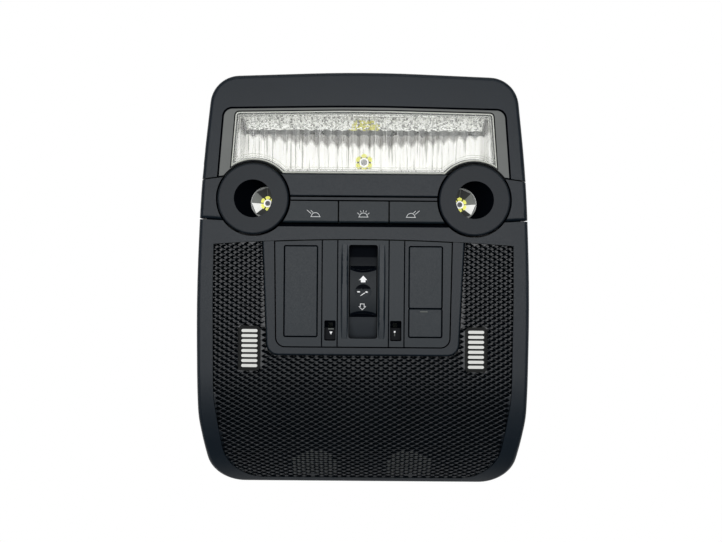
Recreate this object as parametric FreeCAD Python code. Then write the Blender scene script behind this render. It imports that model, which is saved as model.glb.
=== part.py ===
"""Roof console light for a car: dome lamp, two reading lamps, lamp keys, sunroof slider and rolled grille.

The console lies on its back. X runs across it, +Y points to the dome lamp end and +Z out of the visible face.
The origin is in the middle of its length and width, on the back of the housing. All sizes are in millimetres.
"""
import FreeCAD, Part
import math
import os
from FreeCAD import Vector

# Lengths down the visible face, from the dome lamp end
TOP_BORDER = 21.5        # smooth bezel above the dome lamp
LAMP_H = 45.95           # dome lamp, down to the joint with the key bar
BAR_H = 26.4             # key bar with the reading lamps
BAND_H = 11.75           # smooth band between the key bar and the switch panel
SWITCH_H = 68.6          # switch panel
SURROUND_LOW = 4.9       # frame of the switch panel, at its lower side
FLAT_TAIL = 12.6         # flat grille before it bends away
BEND_H = 40.0            # gentle bend, seen from the front
BEND_R = 165.0
ROLL_H = 34.8            # tighter roll that ends it, seen from the front
ROLL_R = 90.0

# Widths
HALF_W = 105.3           # half of the largest width
SIDE_BORDER = 10.5       # smooth border beside the grille
BOTTOM_BORDER = 3.6      # smooth border below the grille

# Heights above the back of the housing
FACE_Z = 52.0            # flat part of the visible face
PLATE = 3.0              # face plates
SKIRT = 2.2              # side walls
RIM_DEPTH = 11.0         # side walls below the face
EDGE_R = 3.0             # rounding between face and side walls
LIP_T = 1.6              # wall round the dome lamp opening
SEAT_W = 2.5             # ledge that carries the grille
SEAT_T = 1.8
GAP = 0.8                # visible joints between trims
CLEAR = 0.3              # clearance between pieces that fit together

# Outline corners: shares of the taper at each side and their rounding
CROWN_DEG = 2.2
CROWN_R = 900.0
TOP_TAPER = 9.3
TOP_CORNER_R = 19.0
SHOULDER_TAPER = 2.4
SHOULDER_R = 800.0
BELLY_R = 1200.0
HIP_TAPER = 0.8
HIP_UP = 47.6
HIP_R = 90.0
BOTTOM_TAPER = 7.6
BOTTOM_CORNER_R = 23.0

# Dome lamp
LAMP_INSET_TOP = 16.0    # bezel opening, in from the largest half width
LAMP_INSET_LOW = 12.5
LAMP_CORNER_R = 6.3
LAMP_CROWN_DEG = 1.1
LAMP_CROWN_R = 1500.0
LENS_BORDER_TOP = 2.8    # grey frame round the clear lens
LENS_BORDER_SIDE = 8.0
LENS_CORNER_R = 2.5
LENS_SINK = 1.0          # lens frame below the face
LENS_T = 2.6
LENS_BEVEL = 0.7
FRAME_T = 4.0
LENS_FIT = 0.1
LENS_SEAT = 1.8
LENS_RING_BORDER = 1.2  # grey frame between the lens and the rings
FLUTE_PITCH = 7.0
FLUTE_R = 9.0
REFLECTOR_T = 1.4
REFLECTOR_DRAFT = 2.0
REFLECTOR_FLOOR_H = 23.5  # flat floor of the reflector, from its lower wall
REFLECTOR_BOW_ACROSS = 0.72  # a point on its curved wall, as shares across and up
REFLECTOR_BOW_UP = 0.34

# Key bar, reading lamps and lamp keys
RING_R = 22.5
RING_HOLE_R = 11.9
RING_PROUD = 1.6
RING_EDGE_R = 1.4
RING_GAP = 1.1
RING_TOP_T = 2.4
FACETS = 8
RING_INSET = 35.6        # ring centre, in from the largest half width
RING_DOWN = 13.2         # ring centre below the joint with the dome lamp
TUBE_T = 1.5
TUBE_END_R = 10.5
TUBE_END_UP = 5.4        # open end of the lamp tube above the board
AIM_IN = 6.2             # lamp aims outward: its lower end sits this far inboard
AIM_LOW = 0.8            # and this far towards the grille
BASE_Z = 43.0            # underside of the key bar's base plate
BASE_T = 3.0
JOINT_SLANT_TOP = 7.5    # degrees
JOINT_SLANT_LOW = 3.0
STRIP_UP = 2.95          # strip reaches this far above the bar joint
STRIP_H = 14.1
STRIP_PROUD = 0.4
STRIP_EDGE_R = 0.8
WING_EDGE_R = 2.0
RIB_T = 1.6
KEY_W = 31.0             # middle key
KEY_H = 13.6
KEY_GAP = 0.9
KEY_PROUD = 0.3
KEY_DEPTH = 7.0
KEY_WALL = 1.6
KEY_TOP_T = 2.0
KEY_EDGE_R = 1.6
KEY_TRAVEL = 1.2
KEY_FOOT_GAP = 2.5       # dark joint below the keys
STEM = 5.0
CUP_FOOT = 1.44          # half width of the reading reflector round its lamp, in lamp half widths
CUP_T = 1.2              # reading reflector wall at its foot
CUP_RIM_T = 0.6          # and at its rim

# Switch panel
ARCH_R = 1227.0          # crown of the joint above the switch panel
SWITCH_HALF_TOP = 56.5
SWITCH_HALF_LOW = 55.2
SWITCH_CORNER_R = 6.3
SWITCH_SINK = 0.6
SWITCH_T = 2.9
SURROUND_SIDE_TOP = 7.6
SURROUND_SIDE_LOW = 5.3
SURROUND_CORNER_R = 7.6
SURROUND_PROUD = 0.2
SURROUND_EDGE_R = 1.2
FLANGE = 1.6
FLANGE_T = 1.5
LEDGE = 2.0
LEDGE_T = 2.0
COVER_W = 20.4           # blank covers
COVER_IN = 29.2          # inner edge of the covers from the middle
COVER_TOP = 4.7          # below the arch
COVER_H = 56.8
COVER_GAP = 0.7
COVER_T = 2.1
COVER_SINK = 0.2
COVER_R = 0.7
COVER_EDGE = 0.3
SPLIT_COVER_H = 38.6     # upper cover on the right, the rest is the indicator window
GROOVE_W = 0.8
GROOVE_D = 0.9
GROOVE_IN = 16.2
GROOVE_OUT = 26.0

# Sunroof slider
POCKET_W = 18.2
POCKET_TOP = 3.6         # below the arch
POCKET_H = 59.2
POCKET_R = 1.5
CHEEK_W = 4.6
CHEEK_PROUD = 1.5
CHEEK_R = 330.0
CHEEK_EDGE_R = 1.2
GUIDE_T = 1.5
GUIDE_H = 8.5
DRUM_R = 70.0
DRUM_T = 1.8
DRUM_SINK = 4.0          # crest of the drum below the face
DRUM_LAP = 4.8           # drum reaches this far under each end of the pocket
WING_T = 1.6
KNOB_L = 32.0
KNOB_W = 16.6
KNOB_GAP = 1.5
KNOB_T = 2.2
KNOB_SCOOP = 2.4
DIMPLE_R = 5.3
DIMPLE_D = 0.8
KNOB_STEM_W = 9.0
KNOB_STEM_L = 20.0
KNOB_STEM_H = 7.0
PEG = 6.0
PEG_DOWN = 18.0          # peg below the slider's middle
PEG_GAP = 1.6
SLIDE_TRAVEL = 3.5
PRESS_TRAVEL = 1.2

# Service locks
LOCK_X = 20.75
LOCK_W = 7.2
LOCK_H = 12.8
LOCK_LOW = 4.4           # above the lower edge of the switch panel
LOCK_PAD_L = 7.6
LOCK_PAD_SINK = 4.0
LOCK_R = 0.8
LOCK_TRAVEL = 4.4
LOCK_FLOOR = 8.0         # pocket floor below the face
LOCK_WALL = 1.0
BOLT_W = 5.0
BOLT_H = 4.0
BOLT_OUT = 3.0
WEB_W = 2.4
WEB_L = 4.0

# Grille with its light slots and microphones
GRILLE_SINK = 1.9        # grille plate below the face, between the ribs of its net
NET_SINK = 0.3           # ribs of the net below the face
NET_RIB_W = 0.9
NET_ROOT = 0.3           # ribs reach this far into the plate
NET_STEP = 5             # cells between the main ribs; the finer ones are surface texture
CELL_W = 5.86
CELL_H = 3.36
CELL_OPEN = 0.6          # share of a cell that is open at the microphones
MIC_X = 31.4
MIC_DOWN = 59.0          # microphone centre down the bent end, along its surface
MIC_PATCH_R = 13.6
FLEECE_T = 1.0
FLEECE_EDGE = 1.5        # fleece past the microphone's holes
MIC_R = 9.0
MIC_FLANGE_T = 1.5
MIC_BODY_R = 6.0
MIC_BODY_H = 7.0
SLOT_SIDE = 11.0         # slot grille centre, out from the surround
SLOT_UP = 4.25           # slot grille centre above the lower edge of the surround
SLOT_FRAME_W = 14.1
SLOT_FRAME_H = 28.2
SLOT_FRAME_R = 3.0
SLOT_COUNT = 8
SLOT_PITCH = 3.15
SLOT_W = 10.3
SLOT_T = 2.1
SLOT_FIT = 0.1
SLOT_SINK = 0.4
SLOT_FLANGE = 1.2
DIFFUSER_T = 1.5
HOLDER_H = 6.0

# Housing and what it holds
HOUSING_FIT = 1.0        # round the flange of the dome reflector
HOUSING_WALL = 2.5
HOUSING_FLOOR = 2.5
HOUSING_R = 8.0
HOUSING_EDGE_R = 3.0
TAIL_FIT = 1.9           # between the slot lamps and the narrower tail of the housing
BOARD_Z = 30.0
BOARD_T = 1.6
BOARD_GAP = 2.0
POST_R = 4.0
EAR_Z = 38.0
EAR_HALF = 8.0
EAR_REACH = 0.5          # ears of the housing past the bosses that they meet
EAR_CUT = 4.0            # side ears are shorter towards the grille
SCREW_R = 1.5
SCREW_HEAD_R = 3.0
SCREW_HEAD_H = 2.2
SCREW_FIT = 0.1
SCREW_BITE = 6.0
BOSS_R = 4.0
BOSS_X_TOP = 60.0
BOSS_DOWN = 12.5         # below the dome lamp end
BOSS_SIDE = 9.3          # in from the largest half width
CLIP_W = 12.0
CLIP_T = 0.8
CLIP_H = 22.0
CLIP_BULGE = 5.0
CLIP_Z = 10.0
CLIP_BEND = 1.0          # bends of the strip inside its ends
CLIP_CREST = 2.6         # and at its crest, in strip thicknesses
PLUG_X = -38.0
PLUG_UP = 50.0           # above the lower edge of the surround
PLUG_W = 28.0
PLUG_H = 14.0
PLUG_WALL = 1.5
PLUG_DEPTH = 13.0
PLUG_MOUTH = 1.5         # above the back of the housing
PIN = 0.8
PIN_L = 7.0
PIN_COLUMNS = 8
PIN_ROWS = 2
PIN_PITCH = 2.8
LED_W = 3.6
LED_T = 0.8
LED_DOME_R = 1.6
DOME_LED_SCALE = 1.6
LED_UP = 10.4            # dome lamp chip above the strip
LED_HOLE_R = 4.6
BUTTON_SWITCH_W = 6.0
BUTTON_SWITCH_H = 3.4
PLUNGER_R = 1.6
PLUNGER_H = 0.8
SLIDE_SWITCH_H = 5.0

# Levels that follow from the sizes above
LENGTH = TOP_BORDER + LAMP_H + BAR_H + BAND_H + SWITCH_H + SURROUND_LOW + FLAT_TAIL + BEND_H + ROLL_H
Y_TOP = LENGTH / 2
Y_LAMP = Y_TOP - TOP_BORDER
Y_BAR = Y_LAMP - LAMP_H
Y_BAR_LOW = Y_BAR - BAR_H
Y_RING = Y_BAR - RING_DOWN
Y_ARCH = Y_BAR_LOW - BAND_H
Y_SWITCH_LOW = Y_ARCH - SWITCH_H
Y_SURROUND_LOW = Y_SWITCH_LOW - SURROUND_LOW
Y_BEND = Y_SURROUND_LOW - FLAT_TAIL
Y_ROLL = Y_BEND - BEND_H
BEND_ANGLE = math.asin(BEND_H / BEND_R)
END_ANGLE = math.asin(math.sin(BEND_ANGLE) + ROLL_H / ROLL_R)
Y_BOTTOM = -LENGTH / 2
X_RING = HALF_W - RING_INSET
Y_STRIP = Y_BAR + STRIP_UP
Y_STRIP_LOW = Y_STRIP - STRIP_H
Y_KEYS = Y_STRIP_LOW - GAP - RIB_T - KEY_GAP
Y_KEYS_LOW = Y_KEYS - KEY_H
Y_BAND_TOP = Y_KEYS_LOW - KEY_FOOT_GAP
X_WING = X_RING + RING_R + RING_GAP      # where the joints of the bar meet the rings
PLATE_UNDER = FACE_Z - PLATE
RIM_Z = FACE_Z - RIM_DEPTH
BASE_TOP = BASE_Z + BASE_T
LENS_Z = FACE_Z - LENS_SINK              # top of the grey lens frame
FRAME_UNDER = LENS_Z - FRAME_T
BOARD_TOP = BOARD_Z + BOARD_T
LAMP_SLOPE = (LAMP_INSET_TOP - LAMP_INSET_LOW) / LAMP_H
LENS_HALF_TOP = HALF_W - LAMP_INSET_TOP - LENS_BORDER_SIDE
LENS_HALF_LOW = LENS_HALF_TOP + LAMP_SLOPE * (Y_LAMP - Y_STRIP)
HOUSING_HALF = LENS_HALF_LOW + HOUSING_FIT + HOUSING_WALL
SLOT_X = SWITCH_HALF_LOW + SURROUND_SIDE_LOW + SLOT_SIDE
TAIL_HALF = SLOT_X - SLOT_FRAME_W / 2 - TAIL_FIT
SWITCH_TOP = FACE_Z - SWITCH_SINK
SWITCH_UNDER = SWITCH_TOP - SWITCH_T
FLANGE_Z = PLATE_UNDER - FLANGE_T
Y_POCKET = Y_ARCH - POCKET_TOP
Y_SLIDER = Y_POCKET - POCKET_H / 2
DRUM_CREST = FACE_Z - DRUM_SINK
Y_LOCK_LOW = Y_SWITCH_LOW + LOCK_LOW
LOCK_FLOOR_Z = FACE_Z - LOCK_FLOOR
Y_SLOT = Y_SURROUND_LOW + SLOT_UP
Y_PLUG = Y_SURROUND_LOW + PLUG_UP
HOUSING_TOP_Y = Y_LAMP - LENS_BORDER_TOP + HOUSING_WALL + CLEAR
HOUSING_STEP_Y = Y_ARCH + 2.0
TAIL_TOP = SWITCH_UNDER - LEDGE_T
TAIL_LOW_Y = Y_SURROUND_LOW - CLEAR
TUBE_END_Z = BOARD_TOP + TUBE_END_UP
LENS_UNDER = LENS_Z + 0.2 - LENS_T
SLOT_FLANGE_Z = PLATE_UNDER - SLOT_FIT - FLANGE_T
FAR = 200.0                              # past everything, for cutting tools


# Basic shapes

def rounded_wire(corners):
    """Closed wire in the XY plane through corners (x, y, radius), each rounded by a tangent arc."""
    count = len(corners)
    joints = []
    for i, (x, y, radius) in enumerate(corners):
        here = Vector(x, y, 0)
        back = Vector(corners[i - 1][0], corners[i - 1][1], 0) - here
        ahead = Vector(corners[(i + 1) % count][0], corners[(i + 1) % count][1], 0) - here
        back.normalize()
        ahead.normalize()
        if radius == 0:
            joints.append((here, None, here))
            continue
        half = back.getAngle(ahead) / 2
        reach = radius / math.tan(half)
        to_centre = (back + ahead).normalize()
        centre = here + to_centre * (radius / math.sin(half))
        joints.append((here + back * reach, centre - to_centre * radius, here + ahead * reach))
    edges = []
    for i, (start, middle, end) in enumerate(joints):
        if middle is not None:
            edges.append(Part.Arc(start, middle, end).toShape())
        following = joints[(i + 1) % count][0]
        if end.distanceToPoint(following) > 1e-6:
            edges.append(Part.LineSegment(end, following).toShape())
    return Part.Wire(edges)


def mirrored(right_half):
    """Corners of a symmetric outline from its right half, listed from top to bottom."""
    left_half = [(-x, y, radius) for x, y, radius in reversed(right_half) if x > 1e-9]
    return right_half + left_half


def prism(wire, low, high):
    solid = Part.Face(wire).extrude(Vector(0, 0, high - low))
    solid.translate(Vector(0, 0, low))
    return solid


def grown(wire, distance):
    return wire.makeOffset2D(distance)


def block(x0, x1, y0, y1, z0, z1):
    return Part.makeBox(x1 - x0, y1 - y0, z1 - z0, Vector(x0, y0, z0))


def rounded_block(x, y, width, height, radius, low, high):
    w, h = width / 2, height / 2
    corners = [(x + w, y + h, radius), (x + w, y - h, radius), (x - w, y - h, radius), (x - w, y + h, radius)]
    return prism(rounded_wire(corners), low, high)


def column(x, y, radius, low, high):
    return Part.makeCylinder(radius, high - low, Vector(x, y, low))


def fused(shapes):
    return shapes[0].fuse(shapes[1:]).removeSplitter()


def flipped(shape):
    """The same shape on the other side of the middle plane."""
    return shape.mirror(Vector(0, 0, 0), Vector(1, 0, 0))


def both_sides(shape):
    return [shape, flipped(shape)]


# The visible face: flat, then rolling away towards the lower end

def on_bend(angle, inset=0.0):
    """Point (y, z) of the bent end where the face has turned by angle, moved in by inset along its normal."""
    y, z, radius = Y_BEND, FACE_Z - BEND_R, BEND_R
    if angle > BEND_ANGLE:
        y -= (BEND_R - ROLL_R) * math.sin(BEND_ANGLE)
        z += (BEND_R - ROLL_R) * math.cos(BEND_ANGLE)
        radius = ROLL_R
    return y - (radius - inset) * math.sin(angle), z + (radius - inset) * math.cos(angle)


def below_face(inset, lower=0.0):
    """Everything below the face, moved in by inset along its normal and straight down by lower."""
    past_end = END_ANGLE + math.radians(10)
    angles = [0.0, BEND_ANGLE / 2, BEND_ANGLE, (BEND_ANGLE + past_end) / 2, past_end]
    places = [on_bend(angle, inset) for angle in angles]
    start, bend, joint, roll, end = [Vector(-FAR, y, z - lower) for y, z in places]
    flat_start = Vector(-FAR, FAR, FACE_Z - inset - lower)
    corner = Vector(-FAR, end.y, -FAR)
    far_corner = Vector(-FAR, FAR, -FAR)
    edges = [
        Part.LineSegment(flat_start, start).toShape(),
        Part.Arc(start, bend, joint).toShape(),
        Part.Arc(joint, roll, end).toShape(),
        Part.LineSegment(end, corner).toShape(),
        Part.LineSegment(corner, far_corner).toShape(),
        Part.LineSegment(far_corner, flat_start).toShape(),
    ]
    return Part.Face(Part.Wire(edges)).extrude(Vector(2 * FAR, 0, 0))


def face_band(top, under):
    """The layer between two depths below the face."""
    return below_face(top).cut(below_face(under))


def bend_point(down):
    """Place and tilt of a point that lies this far down the bent end, along its surface."""
    bend_length = BEND_R * BEND_ANGLE
    angle = down / BEND_R
    if down > bend_length:
        angle = BEND_ANGLE + (down - bend_length) / ROLL_R
    y, z = on_bend(angle)
    return y, z, angle


def face_level(y):
    """Height of the face at y."""
    if y > Y_BEND:
        return FACE_Z
    turn = (Y_BEND - y) / BEND_R
    if y < Y_ROLL:
        turn = math.sin(BEND_ANGLE) + (Y_ROLL - y) / ROLL_R
    return on_bend(math.asin(turn))[1]


def crowned_top(half, y, degrees, radius):
    """Apex corner of a crowned edge that falls off to both sides, and the edge's height at half."""
    slope = math.radians(degrees)
    apex = y + radius * (1 / math.cos(slope) - 1)
    return (0.0, apex, radius), apex - half * math.tan(slope)


def outline():
    top_half = HALF_W - TOP_TAPER
    apex, corner_y = crowned_top(top_half, Y_TOP, CROWN_DEG, CROWN_R)
    belly_y = (Y_ARCH + Y_SWITCH_LOW) / 2
    belly_bulge = 0.5
    return rounded_wire(mirrored([
        apex,
        (top_half, corner_y, TOP_CORNER_R),
        (HALF_W - SHOULDER_TAPER, Y_BAR, SHOULDER_R),
        (HALF_W + belly_bulge, belly_y, BELLY_R),
        (HALF_W - HIP_TAPER, Y_BOTTOM + HIP_UP, HIP_R),
        (HALF_W - BOTTOM_TAPER, Y_BOTTOM, BOTTOM_CORNER_R),
    ]))


def lamp_opening():
    top_half = HALF_W - LAMP_INSET_TOP
    apex, corner_y = crowned_top(top_half, Y_LAMP, LAMP_CROWN_DEG, LAMP_CROWN_R)
    below = Y_BAR - LAMP_H / 2
    slope = (LAMP_INSET_TOP - LAMP_INSET_LOW) / LAMP_H
    low_half = top_half + slope * (Y_LAMP - below)
    return rounded_wire(mirrored([apex, (top_half, corner_y, LAMP_CORNER_R), (low_half, below, 0.0)]))


def grille_opening():
    half = HALF_W - SIDE_BORDER
    return rounded_wire(mirrored([
        (half - 0.8, Y_BAR, 0.0),
        (half + 0.2, (Y_ARCH + Y_SWITCH_LOW) / 2, BELLY_R),
        (half - 0.6, Y_BOTTOM + HIP_UP + 13.0, HIP_R + 30.0),
        (half - 8.1, Y_BOTTOM + BOTTOM_BORDER, BOTTOM_CORNER_R + 3.0),
    ]))


def surround_outline():
    top = SWITCH_HALF_TOP + SURROUND_SIDE_TOP
    low = SWITCH_HALF_LOW + SURROUND_SIDE_LOW
    return rounded_wire(mirrored([(top, Y_ARCH + BAND_H / 2, 0.0), (low, Y_SURROUND_LOW, SURROUND_CORNER_R)]))


def switch_outline():
    return rounded_wire(mirrored([
        (SWITCH_HALF_TOP, Y_ARCH + BAND_H / 2, 0.0),
        (SWITCH_HALF_LOW, Y_SWITCH_LOW, SWITCH_CORNER_R),
    ]))


def under_arch(gap):
    """Everything on the grille's side of the crowned joint below the band."""
    return column(0, Y_ARCH - ARCH_R, ARCH_R - gap, -FAR, FAR)


def joint_top(x, gap):
    return Y_BAR + (X_WING - x) * math.tan(math.radians(JOINT_SLANT_TOP)) + gap


def joint_low(x, gap):
    return Y_BAR_LOW - (X_WING - x) * math.tan(math.radians(JOINT_SLANT_LOW)) + gap


def region(right_half):
    return prism(rounded_wire(mirrored([(x, y, 0.0) for x, y in right_half])), -FAR, FAR)


def ring_holes(radius):
    return [column(side * X_RING, Y_RING, radius, -FAR, FAR) for side in (-1, 1)]


def fascia_shell():
    """The outer skin of all the trims: face, rounded edge and side walls."""
    blank = prism(outline(), -FAR / 2, FAR / 2).common(below_face(0))

    def on_rim(edge):
        box = edge.BoundBox
        across = box.XLength > HALF_W and min(abs(box.YMax - Y_BEND), abs(box.YMax - Y_ROLL)) < 0.01
        on_face = abs(edge.CenterOfMass.z - face_level(edge.CenterOfMass.y)) < 1.5
        return on_face and not across

    blank = blank.makeFillet(EDGE_R, [edge for edge in blank.Edges if on_rim(edge)])
    core = prism(grown(outline(), -SKIRT), -FAR / 2, FAR / 2).common(below_face(PLATE))
    return blank.cut(core).cut(below_face(0, RIM_DEPTH))


def screw_places():
    side_y = (Y_BAR_LOW + Y_ARCH) / 2 - 1.8
    top_y = Y_TOP - BOSS_DOWN
    side_x = HALF_W - BOSS_SIDE
    return [(-BOSS_X_TOP, top_y), (BOSS_X_TOP, top_y), (-side_x, side_y), (side_x, side_y)]


def boss(x, y):
    hole = column(x, y, SCREW_R + SCREW_FIT, RIM_Z, PLATE_UNDER - 1.0)
    return column(x, y, BOSS_R, RIM_Z, PLATE_UNDER + 0.5), hole


# Trims

def make_upper_bezel(shell):
    opening = lamp_opening()
    keep = prism(rounded_wire([
        (-FAR, FAR, 0.0), (FAR, FAR, 0.0), (FAR, joint_top(FAR, GAP / 2), 0.0),
        (0.0, joint_top(0.0, GAP / 2), 0.0), (-FAR, joint_top(FAR, GAP / 2), 0.0),
    ]), -FAR, FAR)
    lip = prism(grown(opening, LIP_T), FRAME_UNDER, FACE_Z - EDGE_R / 2)
    bosses = [boss(x, y) for x, y in screw_places()[:2]]
    bezel = shell.fuse([lip] + [post for post, hole in bosses])
    bezel = bezel.cut([hole for post, hole in bosses] + [prism(opening, -FAR, FAR)])
    return bezel.common(keep).removeSplitter()


def rolled_off(y, z, radius, turn):
    """Cutter that rounds the lower edge of a wing; the edge runs along X at height z, turned about Z."""
    waste = block(0, FAR, y, y + radius, z - radius, z + 1.0)
    waste = waste.cut(Part.makeCylinder(radius, FAR, Vector(0, y + radius, z - radius), Vector(1, 0, 0)))
    waste.rotate(Vector(X_WING, y, 0), Vector(0, 0, 1), turn)
    return waste


def make_centre_bar(shell):
    wing = prism(rounded_wire([
        (X_RING, joint_top(X_RING, -GAP / 2), 0.0), (FAR, joint_top(FAR, -GAP / 2), 0.0),
        (FAR, joint_low(FAR, GAP / 2), 0.0), (X_RING, joint_low(X_RING, GAP / 2), 0.0),
    ]), -FAR, FAR)
    rounding = rolled_off(joint_low(X_WING, GAP / 2), FACE_Z, WING_EDGE_R, JOINT_SLANT_LOW)
    wing = shell.common(wing).cut(rounding)
    base = region([
        (0.0, Y_STRIP), (X_RING, Y_STRIP), (X_RING, joint_top(X_RING, -GAP)), (FAR, joint_top(FAR, -GAP)),
        (FAR, joint_low(FAR, GAP)), (X_RING, joint_low(X_RING, GAP)),
        (X_RING, Y_BAND_TOP - GAP), (0.0, Y_BAND_TOP - GAP),
    ]).common(prism(grown(outline(), -SKIRT / 2), BASE_Z, BASE_TOP))
    strip = block(-X_RING, X_RING, Y_STRIP_LOW, Y_STRIP, BASE_Z, FACE_Z + STRIP_PROUD)
    top_edges = [edge for edge in strip.Edges if edge.BoundBox.ZMin > FACE_Z]
    long_edges = [edge for edge in top_edges if edge.BoundBox.XLength > X_RING]
    strip = strip.makeFillet(STRIP_EDGE_R, long_edges)
    strip = strip.cut(block(-FAR, FAR, Y_STRIP_LOW + RIB_T, Y_STRIP - RIB_T, BASE_TOP, FACE_Z - PLATE))
    rib_top = Y_STRIP_LOW - GAP
    rib = block(-X_RING, X_RING, rib_top - RIB_T, rib_top, BASE_Z, FACE_Z)
    middle = strip.fuse(rib).cut(ring_holes(RING_R + RING_GAP))
    wings = [part.cut(ring_holes(RING_R + RING_GAP)) for part in both_sides(wing)]
    keys = block(-X_RING, X_RING, Y_KEYS_LOW - CLEAR, rib_top - RIB_T, BASE_Z, BASE_TOP)
    seats = ring_holes(RING_R + CLEAR)
    tubes = both_sides(aimed_cone(TUBE_T + CLEAR, BASE_Z - 1.0, BASE_TOP + 1.0))
    base = base.cut([keys.cut(seats)] + tubes)
    return fused([base, middle] + wings)


def make_lower_frame(shell):
    keep = region([
        (0.0, Y_BAND_TOP), (X_RING, Y_BAND_TOP), (X_RING, joint_low(X_RING, -GAP / 2)),
        (FAR, joint_low(FAR, -GAP / 2)), (FAR, -FAR), (0.0, -FAR),
    ])
    opening = grille_opening()
    hole = prism(opening, -FAR, FAR).common(under_arch(0))
    outer = prism(grown(opening, 2.0), -FAR, FAR).cut(prism(opening, -FAR, FAR))
    inner = prism(opening, -FAR, FAR).cut(prism(grown(opening, -SEAT_W), -FAR, FAR))
    root = face_band(PLATE - 0.8, PLATE + SEAT_T).common(outer)
    seat = face_band(PLATE, PLATE + SEAT_T).common(inner)
    ledge = root.fuse(seat).common(prism(outline(), -FAR, FAR))
    ledge = ledge.cut(block(-FAR, FAR, Y_ARCH - BAND_H / 2, FAR, -FAR, FAR))
    bosses = [boss(x, y) for x, y in screw_places()[2:]]
    frame = shell.common(keep).cut([hole] + ring_holes(RING_R + RING_GAP))
    frame = fused([frame, ledge] + [post for post, screw in bosses])
    return frame.cut([screw for post, screw in bosses]).removeSplitter()


def grille_cells():
    """Centres (x, distance down the bent end) of the texture cells in one microphone patch, right side."""
    columns = int(MIC_PATCH_R / CELL_W) + 1
    rows = int(MIC_PATCH_R / CELL_H) + 1
    first_row = round(MIC_DOWN / CELL_H)
    first_column = round(MIC_X / CELL_W)
    cells = []
    for half_row in range(-2 * rows, 2 * rows + 1):
        shift = 0.5 * (half_row % 2)
        for number in range(-columns - 1, columns + 1):
            x = (first_column + number + shift) * CELL_W
            down = (first_row + half_row / 2) * CELL_H
            if math.hypot(x - MIC_X, down - MIC_DOWN) < MIC_PATCH_R:
                cells.append((x, down))
    return cells


def cell_cutter(x, down):
    """Diamond hole through the rolled grille, open straight out of the face."""
    half_w = CELL_W * CELL_OPEN / 2
    half_h = CELL_H * CELL_OPEN / 2
    y = bend_point(down)[0]
    above = bend_point(down - half_h)[0]
    under = bend_point(down + half_h)[0]
    corners = [(x, above, 0.0), (x + half_w, y, 0.0), (x, under, 0.0), (x - half_w, y, 0.0)]
    return prism(rounded_wire(corners), -FAR, FAR)


def net_rib(number):
    """One leaning rib of the diamond net, cut out in plan; it turns steeper where the face rolls away."""
    places = [(Y_BEND - Y_ARCH, Y_ARCH), (BEND_R * BEND_ANGLE, Y_ROLL)]
    places.append((places[1][0] + ROLL_R * (END_ANGLE - BEND_ANGLE), Y_BOTTOM))
    half = NET_RIB_W / 2 * math.hypot(CELL_W, CELL_H) / CELL_H
    middle = [(CELL_W * (number + 0.5 + down / CELL_H), y) for down, y in places]
    right = [(x + half, y, 0.0) for x, y in middle]
    left = [(x - half, y, 0.0) for x, y in reversed(middle)]
    return prism(rounded_wire(right + left), -FAR, FAR)


def grille_net(field):
    """Main ribs of the diamond net over the field of the grille, leaning both ways."""
    layer = face_band(NET_SINK, GRILLE_SINK + NET_ROOT).common(field)
    reach = HALF_W + CELL_W / CELL_H * (Y_ARCH - Y_BEND)
    count = int(reach / CELL_W / NET_STEP)
    ribs = [net_rib(NET_STEP * i) for i in range(-count, count + 1)]
    return layer.common(ribs + [flipped(rib) for rib in ribs])


def make_grille_panel():
    field = prism(grown(grille_opening(), -CLEAR), -FAR, FAR).common(under_arch(CLEAR))
    plate = fused([face_band(GRILLE_SINK, PLATE).common(field), grille_net(field)])
    cutters = [prism(grown(surround_outline(), CLEAR), -FAR, FAR)]
    fit = 2 * SLOT_FIT
    slot = rounded_block(SLOT_X, Y_SLOT, SLOT_FRAME_W + fit, SLOT_FRAME_H + fit, SLOT_FRAME_R + SLOT_FIT,
                         -FAR, FAR)
    cutters += both_sides(slot)
    for x, down in grille_cells():
        cutters += both_sides(cell_cutter(x, down))
    return plate.cut(cutters)


# Switch panel with its covers

def make_switch_surround():
    hole = prism(switch_outline(), -FAR, FAR)
    top = FACE_Z + SURROUND_PROUD
    body = prism(surround_outline(), TAIL_TOP, top).common(under_arch(CLEAR))

    def outer_rim(edge):
        on_top = edge.BoundBox.ZMin > top - 0.01
        return on_top and edge.CenterOfMass.y < Y_ARCH - 5.0

    body = body.makeFillet(SURROUND_EDGE_R, [edge for edge in body.Edges if outer_rim(edge)])
    flange = prism(grown(surround_outline(), FLANGE), FLANGE_Z, PLATE_UNDER).common(under_arch(CLEAR))
    ledge = prism(switch_outline(), TAIL_TOP, SWITCH_UNDER).common(under_arch(CLEAR))
    ledge = ledge.cut(prism(grown(switch_outline(), -LEDGE), -FAR, FAR))
    return fused([body.cut(hole), flange.cut(hole), ledge])


def cover_places():
    """Corners (x0, x1, y0, y1) of the left cover, the right cover and the indicator window."""
    top = Y_ARCH - COVER_TOP
    low = top - COVER_H
    split = top - SPLIT_COVER_H
    left = (-COVER_IN - COVER_W, -COVER_IN, low, top)
    right = (COVER_IN, COVER_IN + COVER_W, split, top)
    window = (COVER_IN, COVER_IN + COVER_W, low, split - COVER_GAP)
    return left, right, window


def cover_block(place, gap, low, high):
    x0, x1, y0, y1 = place
    width, height = x1 - x0 + 2 * gap, y1 - y0 + 2 * gap
    return rounded_block((x0 + x1) / 2, (y0 + y1) / 2, width, height, COVER_R + gap, low, high)


def make_cover(place):
    top = SWITCH_TOP - COVER_SINK
    cover = cover_block(place, 0.0, top - COVER_T, top)
    rim = [edge for edge in cover.Edges if edge.BoundBox.ZMin > top - 0.01]
    return cover.makeChamfer(COVER_EDGE, rim)


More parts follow.
